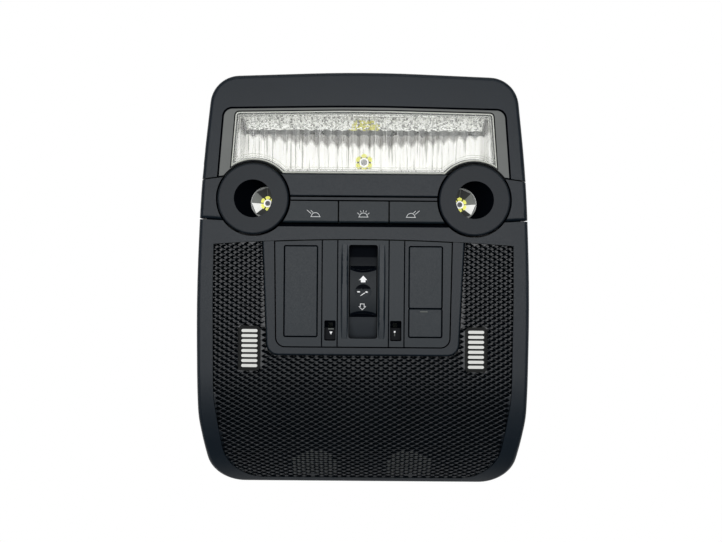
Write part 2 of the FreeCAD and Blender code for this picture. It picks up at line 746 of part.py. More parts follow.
def make_cheek():
    """Finger guard on the right of the slider: a low bead, arched along its length."""
    x0 = POCKET_W / 2 + CLEAR
    crest = SWITCH_TOP + CHEEK_PROUD
    y0, y1 = Y_SLIDER - POCKET_H / 2, Y_SLIDER + POCKET_H / 2
    bead = block(x0, x0 + CHEEK_W, y0, y1, SWITCH_TOP - 1.0, crest + 1.0)
    arch = Part.makeCylinder(CHEEK_R, 2 * FAR, Vector(-FAR, Y_SLIDER, crest - CHEEK_R), Vector(1, 0, 0))
    bead = bead.common(arch)
    long_edges = [edge for edge in bead.Edges if edge.BoundBox.YLength > POCKET_H / 2]
    crest_edges = [edge for edge in long_edges if edge.BoundBox.ZMax > crest - 0.1]
    return bead.makeFillet(CHEEK_EDGE_R, crest_edges)


def lock_slot():
    """Slot of the right lock in the floor of its pocket."""
    y0 = Y_LOCK_LOW + CLEAR + (LOCK_PAD_L - WEB_L) / 2
    half = WEB_W / 2 + CLEAR
    return block(LOCK_X - half, LOCK_X + half, y0 - CLEAR, y0 + WEB_L + LOCK_TRAVEL + CLEAR, -FAR, FAR)


def make_switch_panel():
    fit = GAP / 2 + CLEAR
    plate = prism(grown(switch_outline(), -fit), SWITCH_UNDER, SWITCH_TOP).common(under_arch(fit))
    lock_y = Y_LOCK_LOW + LOCK_H / 2
    guide = block(POCKET_W / 2, POCKET_W / 2 + GUIDE_T, Y_SLIDER - POCKET_H / 2, Y_POCKET,
                  SWITCH_UNDER - GUIDE_H, SWITCH_TOP)
    tub = block(LOCK_X - LOCK_W / 2 - LOCK_WALL, LOCK_X + LOCK_W / 2 + LOCK_WALL, Y_LOCK_LOW - LOCK_WALL,
                Y_LOCK_LOW + LOCK_H + LOCK_WALL, LOCK_FLOOR_Z - LOCK_WALL, SWITCH_TOP - 1.0)
    body = fused([plate] + both_sides(make_cheek()) + both_sides(guide) + both_sides(tub))
    well = rounded_block(LOCK_X, lock_y, LOCK_W, LOCK_H, LOCK_R, LOCK_FLOOR_Z, FAR)
    pocket = rounded_block(0, Y_SLIDER, POCKET_W, POCKET_H, POCKET_R, -FAR, FAR)
    recess_z = SWITCH_TOP - COVER_SINK - COVER_T
    cutters = [pocket] + both_sides(well) + both_sides(lock_slot())
    cutters += [cover_block(place, COVER_GAP, recess_z, FAR) for place in cover_places()]
    for x in (GROOVE_IN, GROOVE_OUT):
        groove = block(x - GROOVE_W / 2, x + GROOVE_W / 2, -FAR, FAR, SWITCH_TOP - GROOVE_D, FAR)
        cutters += both_sides(groove)
    return body.cut(cutters)


# Sunroof slider

def drum_layer(inner, outer, half_w, y0, y1):
    """Part of a drum whose axis lies across the console, between two distances from the slider's middle."""
    axis = Vector(-half_w, Y_SLIDER, DRUM_CREST - DRUM_R)
    ring = Part.makeCylinder(outer, 2 * half_w, axis, Vector(1, 0, 0))
    ring = ring.cut(Part.makeCylinder(inner, 2 * half_w, axis, Vector(1, 0, 0)))
    return ring.common(block(-half_w, half_w, Y_SLIDER + y0, Y_SLIDER + y1, axis.z, FAR))


def make_slider_carriage():
    half_w = POCKET_W / 2 - CLEAR
    half_l = POCKET_H / 2 + DRUM_LAP
    wing_start = KNOB_L / 2 + CLEAR
    drum = drum_layer(DRUM_R - DRUM_T, DRUM_R, half_w, -half_l, half_l)
    upper_wing = drum_layer(DRUM_R - 0.5, DRUM_R + WING_T, half_w, wing_start, half_l)
    lower_wing = drum_layer(DRUM_R - 0.5, DRUM_R + WING_T, half_w, -half_l, -wing_start)
    peg_y = Y_SLIDER - PEG_DOWN
    peg_top = DRUM_CREST - DRUM_R + math.sqrt((DRUM_R - 0.6) ** 2 - (PEG_DOWN + PEG / 2) ** 2)
    peg = block(-PEG / 2, PEG / 2, peg_y - PEG / 2, peg_y + PEG / 2, BOARD_TOP + PEG_GAP, peg_top)
    window_w, window_l = KNOB_STEM_W / 2 + CLEAR, KNOB_STEM_L / 2 + CLEAR
    window = block(-window_w, window_w, Y_SLIDER - window_l, Y_SLIDER + window_l, 0, FAR)
    return fused([drum, upper_wing, lower_wing, peg]).cut(window)


def make_slider_knob():
    low = DRUM_R + KNOB_GAP
    high = low + KNOB_T
    pad = drum_layer(low, high, KNOB_W / 2, -KNOB_L / 2, KNOB_L / 2)
    scoop_r = KNOB_W ** 2 / (8 * KNOB_SCOOP) + KNOB_SCOOP / 2
    reach = KNOB_L / 2 - KNOB_SCOOP + scoop_r
    scoops = [column(0, Y_SLIDER + side * reach, scoop_r, -FAR, FAR) for side in (-1, 1)]
    crest = DRUM_CREST + KNOB_GAP + KNOB_T
    ball_r = (DIMPLE_R ** 2 + DIMPLE_D ** 2) / (2 * DIMPLE_D)
    dimple = Part.makeSphere(ball_r, Vector(0, Y_SLIDER, crest - DIMPLE_D + ball_r))
    stem = block(-KNOB_STEM_W / 2, KNOB_STEM_W / 2, Y_SLIDER - KNOB_STEM_L / 2, Y_SLIDER + KNOB_STEM_L / 2,
                 DRUM_CREST - KNOB_STEM_H, crest - KNOB_T / 2 - DIMPLE_D)
    return fused([pad.cut(scoops), stem]).cut(dimple)


def make_lock():
    """Right service lock: a thumb pad in its pocket and a bolt that locks the console to the roof."""
    y0 = Y_LOCK_LOW + CLEAR
    y1 = y0 + LOCK_PAD_L
    pad_z = LOCK_FLOOR_Z + CLEAR
    pad_h = LOCK_FLOOR - LOCK_PAD_SINK - CLEAR
    pad = block(LOCK_X - LOCK_W / 2 + CLEAR, LOCK_X + LOCK_W / 2 - CLEAR, y0, y1, pad_z, pad_z + pad_h)
    web_y = (y0 + y1 - WEB_L) / 2
    bolt_top = LOCK_FLOOR_Z - LOCK_WALL - CLEAR
    web = block(LOCK_X - WEB_W / 2, LOCK_X + WEB_W / 2, web_y, web_y + WEB_L, bolt_top - 1.0, pad_z + 1.0)
    bolt = block(LOCK_X - BOLT_W / 2, LOCK_X + BOLT_W / 2, TAIL_LOW_Y - BOLT_OUT, web_y + WEB_L,
                 bolt_top - BOLT_H, bolt_top)
    return fused([pad, web, bolt])


# Lamp keys

def make_key(x0, x1):
    """Hollow key between x0 and x1; an end that meets a reading lamp follows its ring."""
    top = FACE_Z + KEY_PROUD
    low = top - KEY_DEPTH
    around = ring_holes(RING_R + RING_GAP)
    cap = block(x0, x1, Y_KEYS_LOW, Y_KEYS, low, top).cut(around)

    def foot(edge):
        return edge.BoundBox.ZMin > top - 0.01 and edge.BoundBox.YMax < Y_KEYS_LOW + 0.01

    cap = cap.makeFillet(KEY_EDGE_R, [edge for edge in cap.Edges if foot(edge)])
    inside = block(x0 + KEY_WALL, x1 - KEY_WALL, Y_KEYS_LOW + KEY_WALL, Y_KEYS - KEY_WALL,
                   low - 1.0, top - KEY_TOP_T)
    inside = inside.cut(ring_holes(RING_R + RING_GAP + KEY_WALL))
    x, y = key_centre(x0, x1)
    stem_low = BOARD_TOP + BUTTON_SWITCH_H + PLUNGER_H + KEY_TRAVEL + CLEAR
    stem = block(x - STEM / 2, x + STEM / 2, y - STEM / 2, y + STEM / 2, stem_low, top - KEY_TOP_T / 2)
    return fused([cap.cut(inside), stem])


def key_spans():
    inner = KEY_W / 2
    side = inner + KEY_GAP
    return (-X_RING, -side), (-inner, inner), (side, X_RING)


def key_centre(x0, x1):
    """Middle of a key between its straight end and the ring that it meets."""
    reach = X_RING - RING_R - RING_GAP
    left, right = max(x0, -reach), min(x1, reach)
    return (left + right) / 2, (Y_KEYS + Y_KEYS_LOW) / 2


# Reading lamps, right side

def aimed_circle(extra, z):
    """Bore of the right reading lamp at height z; deeper, it runs inboard and towards the grille."""
    share = (FACE_Z + RING_PROUD - z) / (FACE_Z + RING_PROUD - TUBE_END_Z)
    radius = RING_HOLE_R + (TUBE_END_R - RING_HOLE_R) * share + extra
    centre = Vector(X_RING - AIM_IN * share, Y_RING - AIM_LOW * share, z)
    return Part.Wire(Part.makeCircle(radius, centre))


def aimed_cone(extra, low, high):
    return Part.makeLoft([aimed_circle(extra, low), aimed_circle(extra, high)], True, True)


def lamp_end():
    return X_RING - AIM_IN, Y_RING - AIM_LOW


def make_reading_bezel():
    top = FACE_Z + RING_PROUD
    ring = column(X_RING, Y_RING, RING_R, BASE_TOP, top)
    rim = [edge for edge in ring.Edges if edge.BoundBox.ZMin > top - 0.01]
    ring = ring.makeFillet(RING_EDGE_R, rim)
    tube = aimed_cone(TUBE_T, TUBE_END_Z, top - RING_TOP_T / 2)
    hollow = column(X_RING, Y_RING, RING_R - TUBE_T, BASE_TOP, top - RING_TOP_T).cut(tube)
    return fused([ring.cut(hollow), tube]).cut(aimed_cone(0.0, TUBE_END_Z - 1.0, top + 1.0))


def facet_wire(x, y, z, radius):
    turn = 2 * math.pi / FACETS
    angles = [i * turn for i in range(FACETS + 1)]
    points = [Vector(x + radius * math.cos(a), y + radius * math.sin(a), z) for a in angles]
    return Part.makePolygon(points)


def facet_cone(x, y, low_r, top_r):
    low, high = facet_wire(x, y, BOARD_TOP, low_r), facet_wire(x, y, TUBE_END_Z, top_r)
    return Part.makeLoft([low, high], True, True)


def make_reading_reflector():
    x, y = lamp_end()
    top = TUBE_END_Z
    low_r = LED_W / 2 * CUP_FOOT
    flange = column(x, y, TUBE_END_R + TUBE_T, top - FLANGE_T, top)
    cup = facet_cone(x, y, low_r + CUP_T, TUBE_END_R)
    bore = facet_cone(x, y, low_r, TUBE_END_R - CUP_RIM_T)
    return fused([flange, cup]).cut(bore)


def make_led(x, y, scale):
    """Lamp chip on the board: a ceramic base and a clear dome."""
    half = LED_W * scale / 2
    base = block(x - half, x + half, y - half, y + half, BOARD_TOP, BOARD_TOP + LED_T)
    dome_r = LED_DOME_R * scale
    dome = Part.makeSphere(dome_r, Vector(x, y, BOARD_TOP + LED_T))
    dome = dome.common(block(x - half, x + half, y - half, y + half, BOARD_TOP + LED_T / 2, FAR))
    return fused([base, dome])


# Dome lamp

def lens_outline():
    top = Y_LAMP - LENS_BORDER_TOP
    low = Y_STRIP + GAP / 2
    apex, corner_y = crowned_top(LENS_HALF_TOP, top, LAMP_CROWN_DEG, LAMP_CROWN_R)
    return rounded_wire(mirrored([
        apex,
        (LENS_HALF_TOP + LAMP_SLOPE * (Y_LAMP - top), corner_y, LENS_CORNER_R),
        (LENS_HALF_TOP + LAMP_SLOPE * (Y_LAMP - low), low, LENS_CORNER_R),
    ]))


def make_lens_frame():
    keep = prism(rounded_wire(mirrored([
        (FAR, FAR, 0.0), (FAR, joint_top(FAR, GAP / 2), 0.0), (X_RING, joint_top(X_RING, GAP / 2), 0.0),
        (X_RING, Y_STRIP + GAP / 2, 0.0),
    ])), -FAR, FAR)
    plate = prism(grown(lamp_opening(), -GAP / 2), FRAME_UNDER, LENS_Z).common(keep)
    window = prism(lens_outline(), LENS_UNDER, FAR)
    window = window.cut(ring_holes(RING_R + RING_GAP + LENS_RING_BORDER))
    sight = prism(grown(lens_outline(), -LENS_SEAT), -FAR, FAR)
    sight = sight.cut(ring_holes(RING_R + RING_GAP + LENS_RING_BORDER + LENS_SEAT))
    return plate.cut([window, sight] + ring_holes(RING_R + RING_GAP))


def flute_bars(count, z):
    """Round bars along Y that shape the flutes of the lens and of its reflector, count to each side."""
    places = [Vector(i * FLUTE_PITCH, -FAR, z) for i in range(-count, count + 1)]
    return [Part.makeCylinder(FLUTE_R, 2 * FAR, place, Vector(0, 1, 0)) for place in places]


def make_dome_lens():
    rings = RING_R + RING_GAP + LENS_RING_BORDER
    plate = prism(grown(lens_outline(), -LENS_FIT), LENS_UNDER, LENS_UNDER + LENS_T)
    plate = plate.cut(ring_holes(rings + LENS_FIT))
    rim = [edge for edge in plate.Edges if edge.BoundBox.ZMin > LENS_UNDER + LENS_T - 0.01]
    plate = plate.makeChamfer(LENS_BEVEL, rim)
    margin = LENS_SEAT + CLEAR
    field = prism(grown(lens_outline(), -margin), -FAR, LENS_UNDER + LENS_T / 2)
    field = field.cut(ring_holes(rings + margin))
    sag_z = math.sqrt(FLUTE_R ** 2 - (FLUTE_PITCH / 2) ** 2)
    count = int(HALF_W / FLUTE_PITCH)
    flutes = flute_bars(count, LENS_UNDER + sag_z)
    slab = block(-FAR, FAR, -FAR, FAR, -FAR, LENS_UNDER + 0.2)
    ridges = [flute.common(field).common(slab) for flute in flutes]
    return fused([plate] + [ridge for ridge in ridges if ridge.Volume > 1e-6])


def reflector_trough(offset, half_w):
    """Trough of the dome reflector: steep lower wall, flat floor, curved upper wall, grown by offset."""
    low = Y_STRIP + GAP / 2 + LENS_SEAT + REFLECTOR_T - offset
    high = Y_LAMP - LENS_BORDER_TOP - LENS_SEAT - REFLECTOR_T + offset
    floor_z = BOARD_TOP + REFLECTOR_T - offset
    top = FRAME_UNDER + 1.0
    bend = low + REFLECTOR_FLOOR_H + offset
    rise = top - floor_z
    start = Vector(-half_w, bend, floor_z)
    across = (high - bend) * REFLECTOR_BOW_ACROSS
    middle = Vector(-half_w, bend + across, floor_z + rise * REFLECTOR_BOW_UP)
    end = Vector(-half_w, high, top)
    corner = Vector(-half_w, low + REFLECTOR_DRAFT, floor_z)
    lip = Vector(-half_w, low, top)
    wire = Part.Wire([
        Part.Arc(start, middle, end).toShape(),
        Part.LineSegment(end, lip).toShape(),
        Part.LineSegment(lip, corner).toShape(),
        Part.LineSegment(corner, start).toShape(),
    ])
    return Part.Face(wire).extrude(Vector(2 * half_w, 0, 0))


def dome_led_place():
    return 0.0, Y_STRIP + LED_UP


def make_dome_reflector():
    rings = RING_R + RING_GAP
    half_w = LENS_HALF_TOP - LENS_SEAT
    body = reflector_trough(REFLECTOR_T, half_w + REFLECTOR_T)
    cavity = reflector_trough(0.0, half_w)
    flange = prism(lens_outline(), FRAME_UNDER - FLANGE_T, FRAME_UNDER)
    ceiling = block(-FAR, FAR, -FAR, FAR, -FAR, FRAME_UNDER)
    body = body.common(ceiling).fuse(flange).cut(ring_holes(rings))
    cavity = cavity.cut(ring_holes(rings + REFLECTOR_T))
    floor_z = BOARD_TOP + REFLECTOR_T
    sag = FLUTE_R - math.sqrt(FLUTE_R ** 2 - (FLUTE_PITCH / 2) ** 2)
    count = int(half_w / FLUTE_PITCH)
    flutes = flute_bars(count, floor_z + sag - FLUTE_R)
    x, y = dome_led_place()
    cavity = cavity.cut(flutes)
    hole = column(x, y, LED_HOLE_R, BOARD_TOP - 1.0, floor_z + 3.0)
    return body.cut([cavity, hole]).removeSplitter()


# Light slots in the grille, right side

def make_slot_grille():
    top = FACE_Z - SLOT_SINK
    plate = rounded_block(SLOT_X, Y_SLOT, SLOT_FRAME_W, SLOT_FRAME_H, SLOT_FRAME_R, SLOT_FLANGE_Z, top)
    extra = 2 * SLOT_FLANGE
    flange = rounded_block(SLOT_X, Y_SLOT, SLOT_FRAME_W + extra, SLOT_FRAME_H + extra, SLOT_FRAME_R,
                           SLOT_FLANGE_Z, PLATE_UNDER - SLOT_FIT)
    slots = [rounded_block(SLOT_X, y, SLOT_W, SLOT_T, SLOT_T * 0.49, -FAR, FAR) for y in slot_rows()]
    return fused([plate, flange]).cut(slots)


def slot_rows():
    first = Y_SLOT - SLOT_PITCH * (SLOT_COUNT - 1) / 2
    return [first + i * SLOT_PITCH for i in range(SLOT_COUNT)]


def make_diffuser():
    plate_z = SLOT_FLANGE_Z - DIFFUSER_T
    plate = rounded_block(SLOT_X, Y_SLOT, SLOT_FRAME_W, SLOT_FRAME_H, SLOT_FRAME_R, plate_z, SLOT_FLANGE_Z)
    width, height = SLOT_W - 2 * SLOT_FIT, SLOT_T - 2 * SLOT_FIT
    top = FACE_Z - SLOT_SINK - SLOT_FIT
    low = SLOT_FLANGE_Z - 0.5
    bars = [rounded_block(SLOT_X, y, width, height, height * 0.49, low, top) for y in slot_rows()]
    return fused([plate] + bars)


def make_lamp_holder():
    high = SLOT_FLANGE_Z - DIFFUSER_T
    low = high - HOLDER_H
    body = rounded_block(SLOT_X, Y_SLOT, SLOT_FRAME_W, SLOT_FRAME_H, SLOT_FRAME_R, low, high)
    wall = 2 * TUBE_T
    inside = rounded_block(SLOT_X, Y_SLOT, SLOT_FRAME_W - wall, SLOT_FRAME_H - wall, SLOT_FRAME_R - TUBE_T,
                           low + TUBE_T, high)
    return body.cut(inside)


# Microphones behind the grille, right side

def tilted_column(radius, depth0, depth1):
    """Round bar square to the bent end at the right microphone, between two depths below the face."""
    y, z, angle = bend_point(MIC_DOWN)
    inward = Vector(0, math.sin(angle), -math.cos(angle))
    start = Vector(MIC_X, y, z) + inward * depth0
    return Part.makeCylinder(radius, depth1 - depth0, start, inward)


def make_fleece():
    top = PLATE + SLOT_FIT
    sheet = face_band(top, top + FLEECE_T)
    inside_seat = prism(grown(grille_opening(), -SEAT_W - CLEAR), -FAR, FAR)
    return sheet.common(tilted_column(MIC_PATCH_R + FLEECE_EDGE, -ROLL_R / 4, ROLL_R / 4)).common(inside_seat)


def make_microphone():
    start = PLATE + SLOT_FIT + FLEECE_T + 2 * CLEAR
    flange = tilted_column(MIC_R, start, start + MIC_FLANGE_T)
    body = tilted_column(MIC_BODY_R, start, start + MIC_FLANGE_T + MIC_BODY_H)
    return fused([flange, body])


# Housing, board and what stands on the board

def housing_outline():
    return rounded_wire(mirrored([
        (HOUSING_HALF, HOUSING_TOP_Y, HOUSING_R),
        (HOUSING_HALF, HOUSING_STEP_Y, HOUSING_R),
        (TAIL_HALF, HOUSING_STEP_Y, HOUSING_R / 2),
        (TAIL_HALF, TAIL_LOW_Y, HOUSING_R),
    ]))


def post_places():
    wide = HOUSING_HALF - HOUSING_WALL - BOARD_GAP - 2 * POST_R
    tail = TAIL_HALF - HOUSING_WALL - BOARD_GAP - 2 * POST_R
    top = HOUSING_TOP_Y - HOUSING_WALL - BOARD_GAP - 2 * POST_R
    step = HOUSING_STEP_Y + HOUSING_WALL + BOARD_GAP + 2 * POST_R
    low = TAIL_LOW_Y + HOUSING_WALL + BOARD_GAP + 2 * POST_R
    right = [(wide, top), (wide, step), (tail, low)]
    return right + [(-x, y) for x, y in right]


def make_rear_housing():
    body = prism(housing_outline(), 0, FRAME_UNDER)
    foot = [edge for edge in body.Edges if edge.BoundBox.ZMax < 0.01]
    body = body.makeFillet(HOUSING_EDGE_R, foot)
    inside = prism(grown(housing_outline(), -HOUSING_WALL), HOUSING_FLOOR, FAR)
    tail_cut = block(-FAR, FAR, -FAR, HOUSING_STEP_Y, TAIL_TOP, FAR)
    bar_cut = block(-FAR, FAR, HOUSING_STEP_Y, Y_RING + RING_R + GAP, BASE_Z, FAR)
    body = body.cut([inside, tail_cut, bar_cut])
    parts = [body]
    (left_x, top_y), side = screw_places()[0], screw_places()[3]
    x, y = side
    ear_reach = BOSS_R + EAR_REACH
    ears = [
        block(-left_x - EAR_HALF, -left_x + EAR_HALF, HOUSING_TOP_Y - HOUSING_WALL, top_y + ear_reach,
              EAR_Z, RIM_Z),
        block(HOUSING_HALF - HOUSING_WALL, x + ear_reach, y - EAR_HALF + EAR_CUT, y + EAR_HALF,
              EAR_Z, RIM_Z),
    ]
    for ear in ears:
        parts += both_sides(ear)
    parts += [column(px, py, POST_R, HOUSING_FLOOR - 0.5, BOARD_Z) for px, py in post_places()]
    holes = [column(sx, sy, SCREW_R + SCREW_FIT, EAR_Z, RIM_Z) for sx, sy in screw_places()]
    bolt_top = LOCK_FLOOR_Z - LOCK_WALL
    gate_half = BOLT_W / 2 + CLEAR
    gate = block(LOCK_X - gate_half, LOCK_X + gate_half, TAIL_LOW_Y - 1.0, TAIL_LOW_Y + HOUSING_WALL + 1.0,
                 bolt_top - BOLT_H - 2 * CLEAR, bolt_top)
    plug = block(PLUG_X - PLUG_W / 2 - CLEAR, PLUG_X + PLUG_W / 2 + CLEAR, Y_PLUG - PLUG_H / 2 - CLEAR,
                 Y_PLUG + PLUG_H / 2 + CLEAR, -1.0, HOUSING_FLOOR + 1.0)
    return fused(parts).cut(holes + both_sides(gate) + [plug])


def make_board():
    inset = HOUSING_WALL + BOARD_GAP
    return prism(grown(housing_outline(), -inset), BOARD_Z, BOARD_TOP)


def make_key_switches():
    switches = []
    for x0, x1 in key_spans():
        x, y = key_centre(x0, x1)
        half = BUTTON_SWITCH_W / 2
        body = block(x - half, x + half, y - half, y + half, BOARD_TOP, BOARD_TOP + BUTTON_SWITCH_H)
        plunger_top = BOARD_TOP + BUTTON_SWITCH_H + PLUNGER_H
        switches.append(fused([body, column(x, y, PLUNGER_R, BOARD_TOP + 1.0, plunger_top)]))
    return Part.makeCompound(switches)


def make_slide_switch():
    y = Y_SLIDER - PEG_DOWN
    slot_w = PEG / 2 + CLEAR
    slot_l = PEG / 2 + SLIDE_TRAVEL + CLEAR
    wall = HOUSING_WALL
    body = block(-slot_w - wall, slot_w + wall, y - slot_l - wall, y + slot_l + wall,
                 BOARD_TOP, BOARD_TOP + SLIDE_SWITCH_H)
    return body.cut(block(-slot_w, slot_w, y - slot_l, y + slot_l, BOARD_TOP + PEG_GAP / 2, FAR))


def make_connector():
    body = block(PLUG_X - PLUG_W / 2, PLUG_X + PLUG_W / 2, Y_PLUG - PLUG_H / 2, Y_PLUG + PLUG_H / 2,
                 PLUG_MOUTH, BOARD_Z)
    w, h = PLUG_W / 2 - PLUG_WALL, PLUG_H / 2 - PLUG_WALL
    return body.cut(block(PLUG_X - w, PLUG_X + w, Y_PLUG - h, Y_PLUG + h, 0, PLUG_MOUTH + PLUG_DEPTH))


def make_pins():
    floor_z = PLUG_MOUTH + PLUG_DEPTH
    pins = []
    for row in range(PIN_ROWS):
        for number in range(PIN_COLUMNS):
            x = PLUG_X + (number - (PIN_COLUMNS - 1) / 2) * PIN_PITCH
            y = Y_PLUG + (row - (PIN_ROWS - 1) / 2) * PIN_PITCH
            pins.append(block(x - PIN / 2, x + PIN / 2, y - PIN / 2, y + PIN / 2, floor_z - PIN_L, floor_z))
    return Part.makeCompound(pins)


def make_screws():
    screws = []
    for x, y in screw_places():
        head = column(x, y, SCREW_HEAD_R, EAR_Z - SCREW_HEAD_H, EAR_Z)
        shank = column(x, y, SCREW_R, EAR_Z - 0.5, RIM_Z + SCREW_BITE)
        screws.append(fused([head, shank]))
    return Part.makeCompound(screws)


def clip_wedge(x, low, high, reach):
    """Three-sided bar along Y that stands out from a side wall, between two heights."""
    foot = Vector(x, 0, low)
    points = [foot, Vector(x + reach, 0, (low + high) / 2), Vector(x, 0, high), foot]
    return Part.Face(Part.makePolygon(points)).extrude(Vector(0, CLIP_W, 0))


def make_clips():
    """Sheet springs on the side walls, each a flat leg and a bulged leg bent from one strip."""
    bend = CLIP_T * (1 + CLIP_H / 2 / CLIP_BULGE) + CLIP_BEND
    low, high = CLIP_Z, CLIP_Z + CLIP_H
    loop = clip_wedge(HOUSING_HALF, low, high, CLIP_BULGE)
    inside_reach = CLIP_BULGE - CLIP_T * CLIP_CREST
    loop = loop.cut(clip_wedge(HOUSING_HALF + CLIP_T, low + bend, high - bend, inside_reach))
    clips = []
    for y in (HOUSING_TOP_Y - 2 * CLIP_W, Y_BAR - 2 * CLIP_W):
        clip = loop.copy()
        clip.translate(Vector(0, y, 0))
        clips += both_sides(clip)
    return Part.makeCompound(clips)


def pair(name, shape):
    return {name + "_right": shape, name + "_left": flipped(shape)}


def build():
    shell = fascia_shell()
    left_key, middle_key, right_key = [make_key(x0, x1) for x0, x1 in key_spans()]
    left_cover, right_cover, window = [make_cover(place) for place in cover_places()]
    led_x, led_y = dome_led_place()
    nodes = {
        "upper_bezel": make_upper_bezel(shell),
        "centre_bar": make_centre_bar(shell),
        "lower_frame": make_lower_frame(shell),
        "grille_panel": make_grille_panel(),
        "switch_surround": make_switch_surround(),
        "switch_panel": make_switch_panel(),
        "left_cover": left_cover,
        "right_cover": right_cover,
        "indicator_window": window,
        "slider_carriage": make_slider_carriage(),
        "slider_knob": make_slider_knob(),
        "left_key": left_key,
        "dome_key": middle_key,
        "right_key": right_key,
        "lens_frame": make_lens_frame(),
        "dome_lens": make_dome_lens(),
        "dome_reflector": make_dome_reflector(),
        "dome_led": make_led(led_x, led_y, DOME_LED_SCALE),
        "rear_housing": make_rear_housing(),
        "main_board": make_board(),
        "key_switches": make_key_switches(),
        "slide_switch": make_slide_switch(),
        "connector_header": make_connector(),
        "connector_pins": make_pins(),
        "housing_screws": make_screws(),
        "spring_clips": make_clips(),
    }
    nodes.update(pair("lock", make_lock()))
    nodes.update(pair("reading_bezel", make_reading_bezel()))
    nodes.update(pair("reading_reflector", make_reading_reflector()))
    nodes.update(pair("reading_led", make_led(lamp_end()[0], lamp_end()[1], 1.0)))
    nodes.update(pair("slot_grille", make_slot_grille()))
    nodes.update(pair("diffuser", make_diffuser()))
    nodes.update(pair("slot_lamp_holder", make_lamp_holder()))
    nodes.update(pair("microphone_fleece", make_fleece()))
    nodes.update(pair("microphone", make_microphone()))
    return nodes


os.makedirs("parts", exist_ok=True)
for node, shape in build().items():
    shape.exportStep("parts/" + node + ".step")
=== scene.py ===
"""Finishes and fine detail of the roof console light, dressed over its CAD frame.

Sizes are in millimetres and are turned into metres where a mesh is made. X runs across the console,
+Y points to the dome lamp end and +Z out of the visible face.
"""

import math
import random

import bpy
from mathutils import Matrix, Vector
from mathutils.bvhtree import BVHTree


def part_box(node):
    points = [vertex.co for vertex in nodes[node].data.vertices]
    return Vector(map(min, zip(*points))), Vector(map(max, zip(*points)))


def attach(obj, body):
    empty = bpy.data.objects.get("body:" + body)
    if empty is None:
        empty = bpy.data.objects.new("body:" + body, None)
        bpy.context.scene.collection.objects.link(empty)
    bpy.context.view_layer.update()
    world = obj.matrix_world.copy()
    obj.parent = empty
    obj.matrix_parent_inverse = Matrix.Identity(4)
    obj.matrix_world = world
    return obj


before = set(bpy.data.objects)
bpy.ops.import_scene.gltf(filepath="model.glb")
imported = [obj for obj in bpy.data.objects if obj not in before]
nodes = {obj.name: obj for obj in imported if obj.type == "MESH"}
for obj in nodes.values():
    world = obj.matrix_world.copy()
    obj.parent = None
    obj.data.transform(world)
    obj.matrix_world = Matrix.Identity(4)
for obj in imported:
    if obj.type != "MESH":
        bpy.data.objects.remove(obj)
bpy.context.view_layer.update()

MM = 0.001
DOWN = Vector((0, 0, -1))
ABOVE = 1.0                # start of the rays that feel for a surface, in metres
SIDES = ("left", "right")

# Camera: a wide lens close above the face
IMAGE_W = 722              # pixels
MM_PER_PIXEL = 0.63        # at the height of the face
CAMERA_UP = 360.0          # above the face
CAMERA_X = -1.45
CAMERA_DOWN = 125.7        # below the dome lamp end of the face
CAMERA_TURN = 0.45         # degrees
SENSOR = 36.0

# Sizes shared with the solids
FACE_Z = 52.0
CELL_W = 5.86
CELL_H = 3.36
BEND_H = 40.0
BEND_R = 165.0
ROLL_R = 90.0
FLAT_TAIL = 12.6
SURROUND_FLANGE = 1.6
SURROUND_LOW = 4.9
LOCK_LOW = 4.4
LOCK_H = 12.8
RING_HOLE_R = 11.9
FLUTE_PITCH = 7.0
FLUTE_FLOOR_H = 23.5


def low(node, axis):
    """Lowest coordinate of a CAD node at rest, in millimetres."""
    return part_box(node)[0][axis] / MM


def high(node, axis):
    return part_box(node)[1][axis] / MM


def centre(node):
    """Middle of a CAD node's box at rest, in millimetres."""
    lowest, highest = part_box(node)
    return [(a + b) / 2 / MM for a, b in zip(lowest, highest)]


Y_TOP = high("upper_bezel", 1)
Y_SURROUND_LOW = low("switch_surround", 1) + SURROUND_FLANGE
Y_BEND = Y_SURROUND_LOW - FLAT_TAIL
BEND_ANGLE = math.asin(BEND_H / BEND_R)
Y_LOCK_TOP = Y_SURROUND_LOW + SURROUND_LOW + LOCK_LOW + LOCK_H


# Meshes

def add_piece(name, points, faces, materials, body, smooth=False, picks=None):
    """New mesh piece from points in millimetres that rides on a CAD body.

    picks gives the number of each face's material.
    """
    mesh = bpy.data.meshes.new(name)
    mesh.from_pydata([tuple(v * MM for v in point) for point in points], [], faces)
    for material in materials:
        mesh.materials.append(material)
    if picks:
        mesh.polygons.foreach_set("material_index", picks)
    if smooth:
        mesh.polygons.foreach_set("use_smooth", [True] * len(mesh.polygons))
    mesh.validate()
    mesh.update()
    piece = bpy.data.objects.new(name, mesh)
    bpy.context.scene.collection.objects.link(piece)
    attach(piece, body)


def mesh_tree(names):
    """Ray casting tree over some CAD nodes, and the node that each of its faces belongs to."""
    points, faces, owners = [], [], []
    for name in names:
        mesh = nodes[name].data
        start = len(points)
        points += [vertex.co.copy() for vertex in mesh.vertices]
        for polygon in mesh.polygons:
            faces.append([start + index for index in polygon.vertices])
            owners.append(name)
    return BVHTree.FromPolygons(points, faces), owners


def level_of(node):
    """Returns a function that gives the height of a node's surface at (x, y), seen from the front."""
    tree = mesh_tree([node])[0]

    def level(x, y):
        hit = tree.ray_cast(Vector((x * MM, y * MM, ABOVE)), DOWN)
        return hit[0].z / MM if hit[0] else None

    return level


FLAT_NORMAL = 0.9          # flat faces look up at least this much
LEVEL_SLACK = 0.02


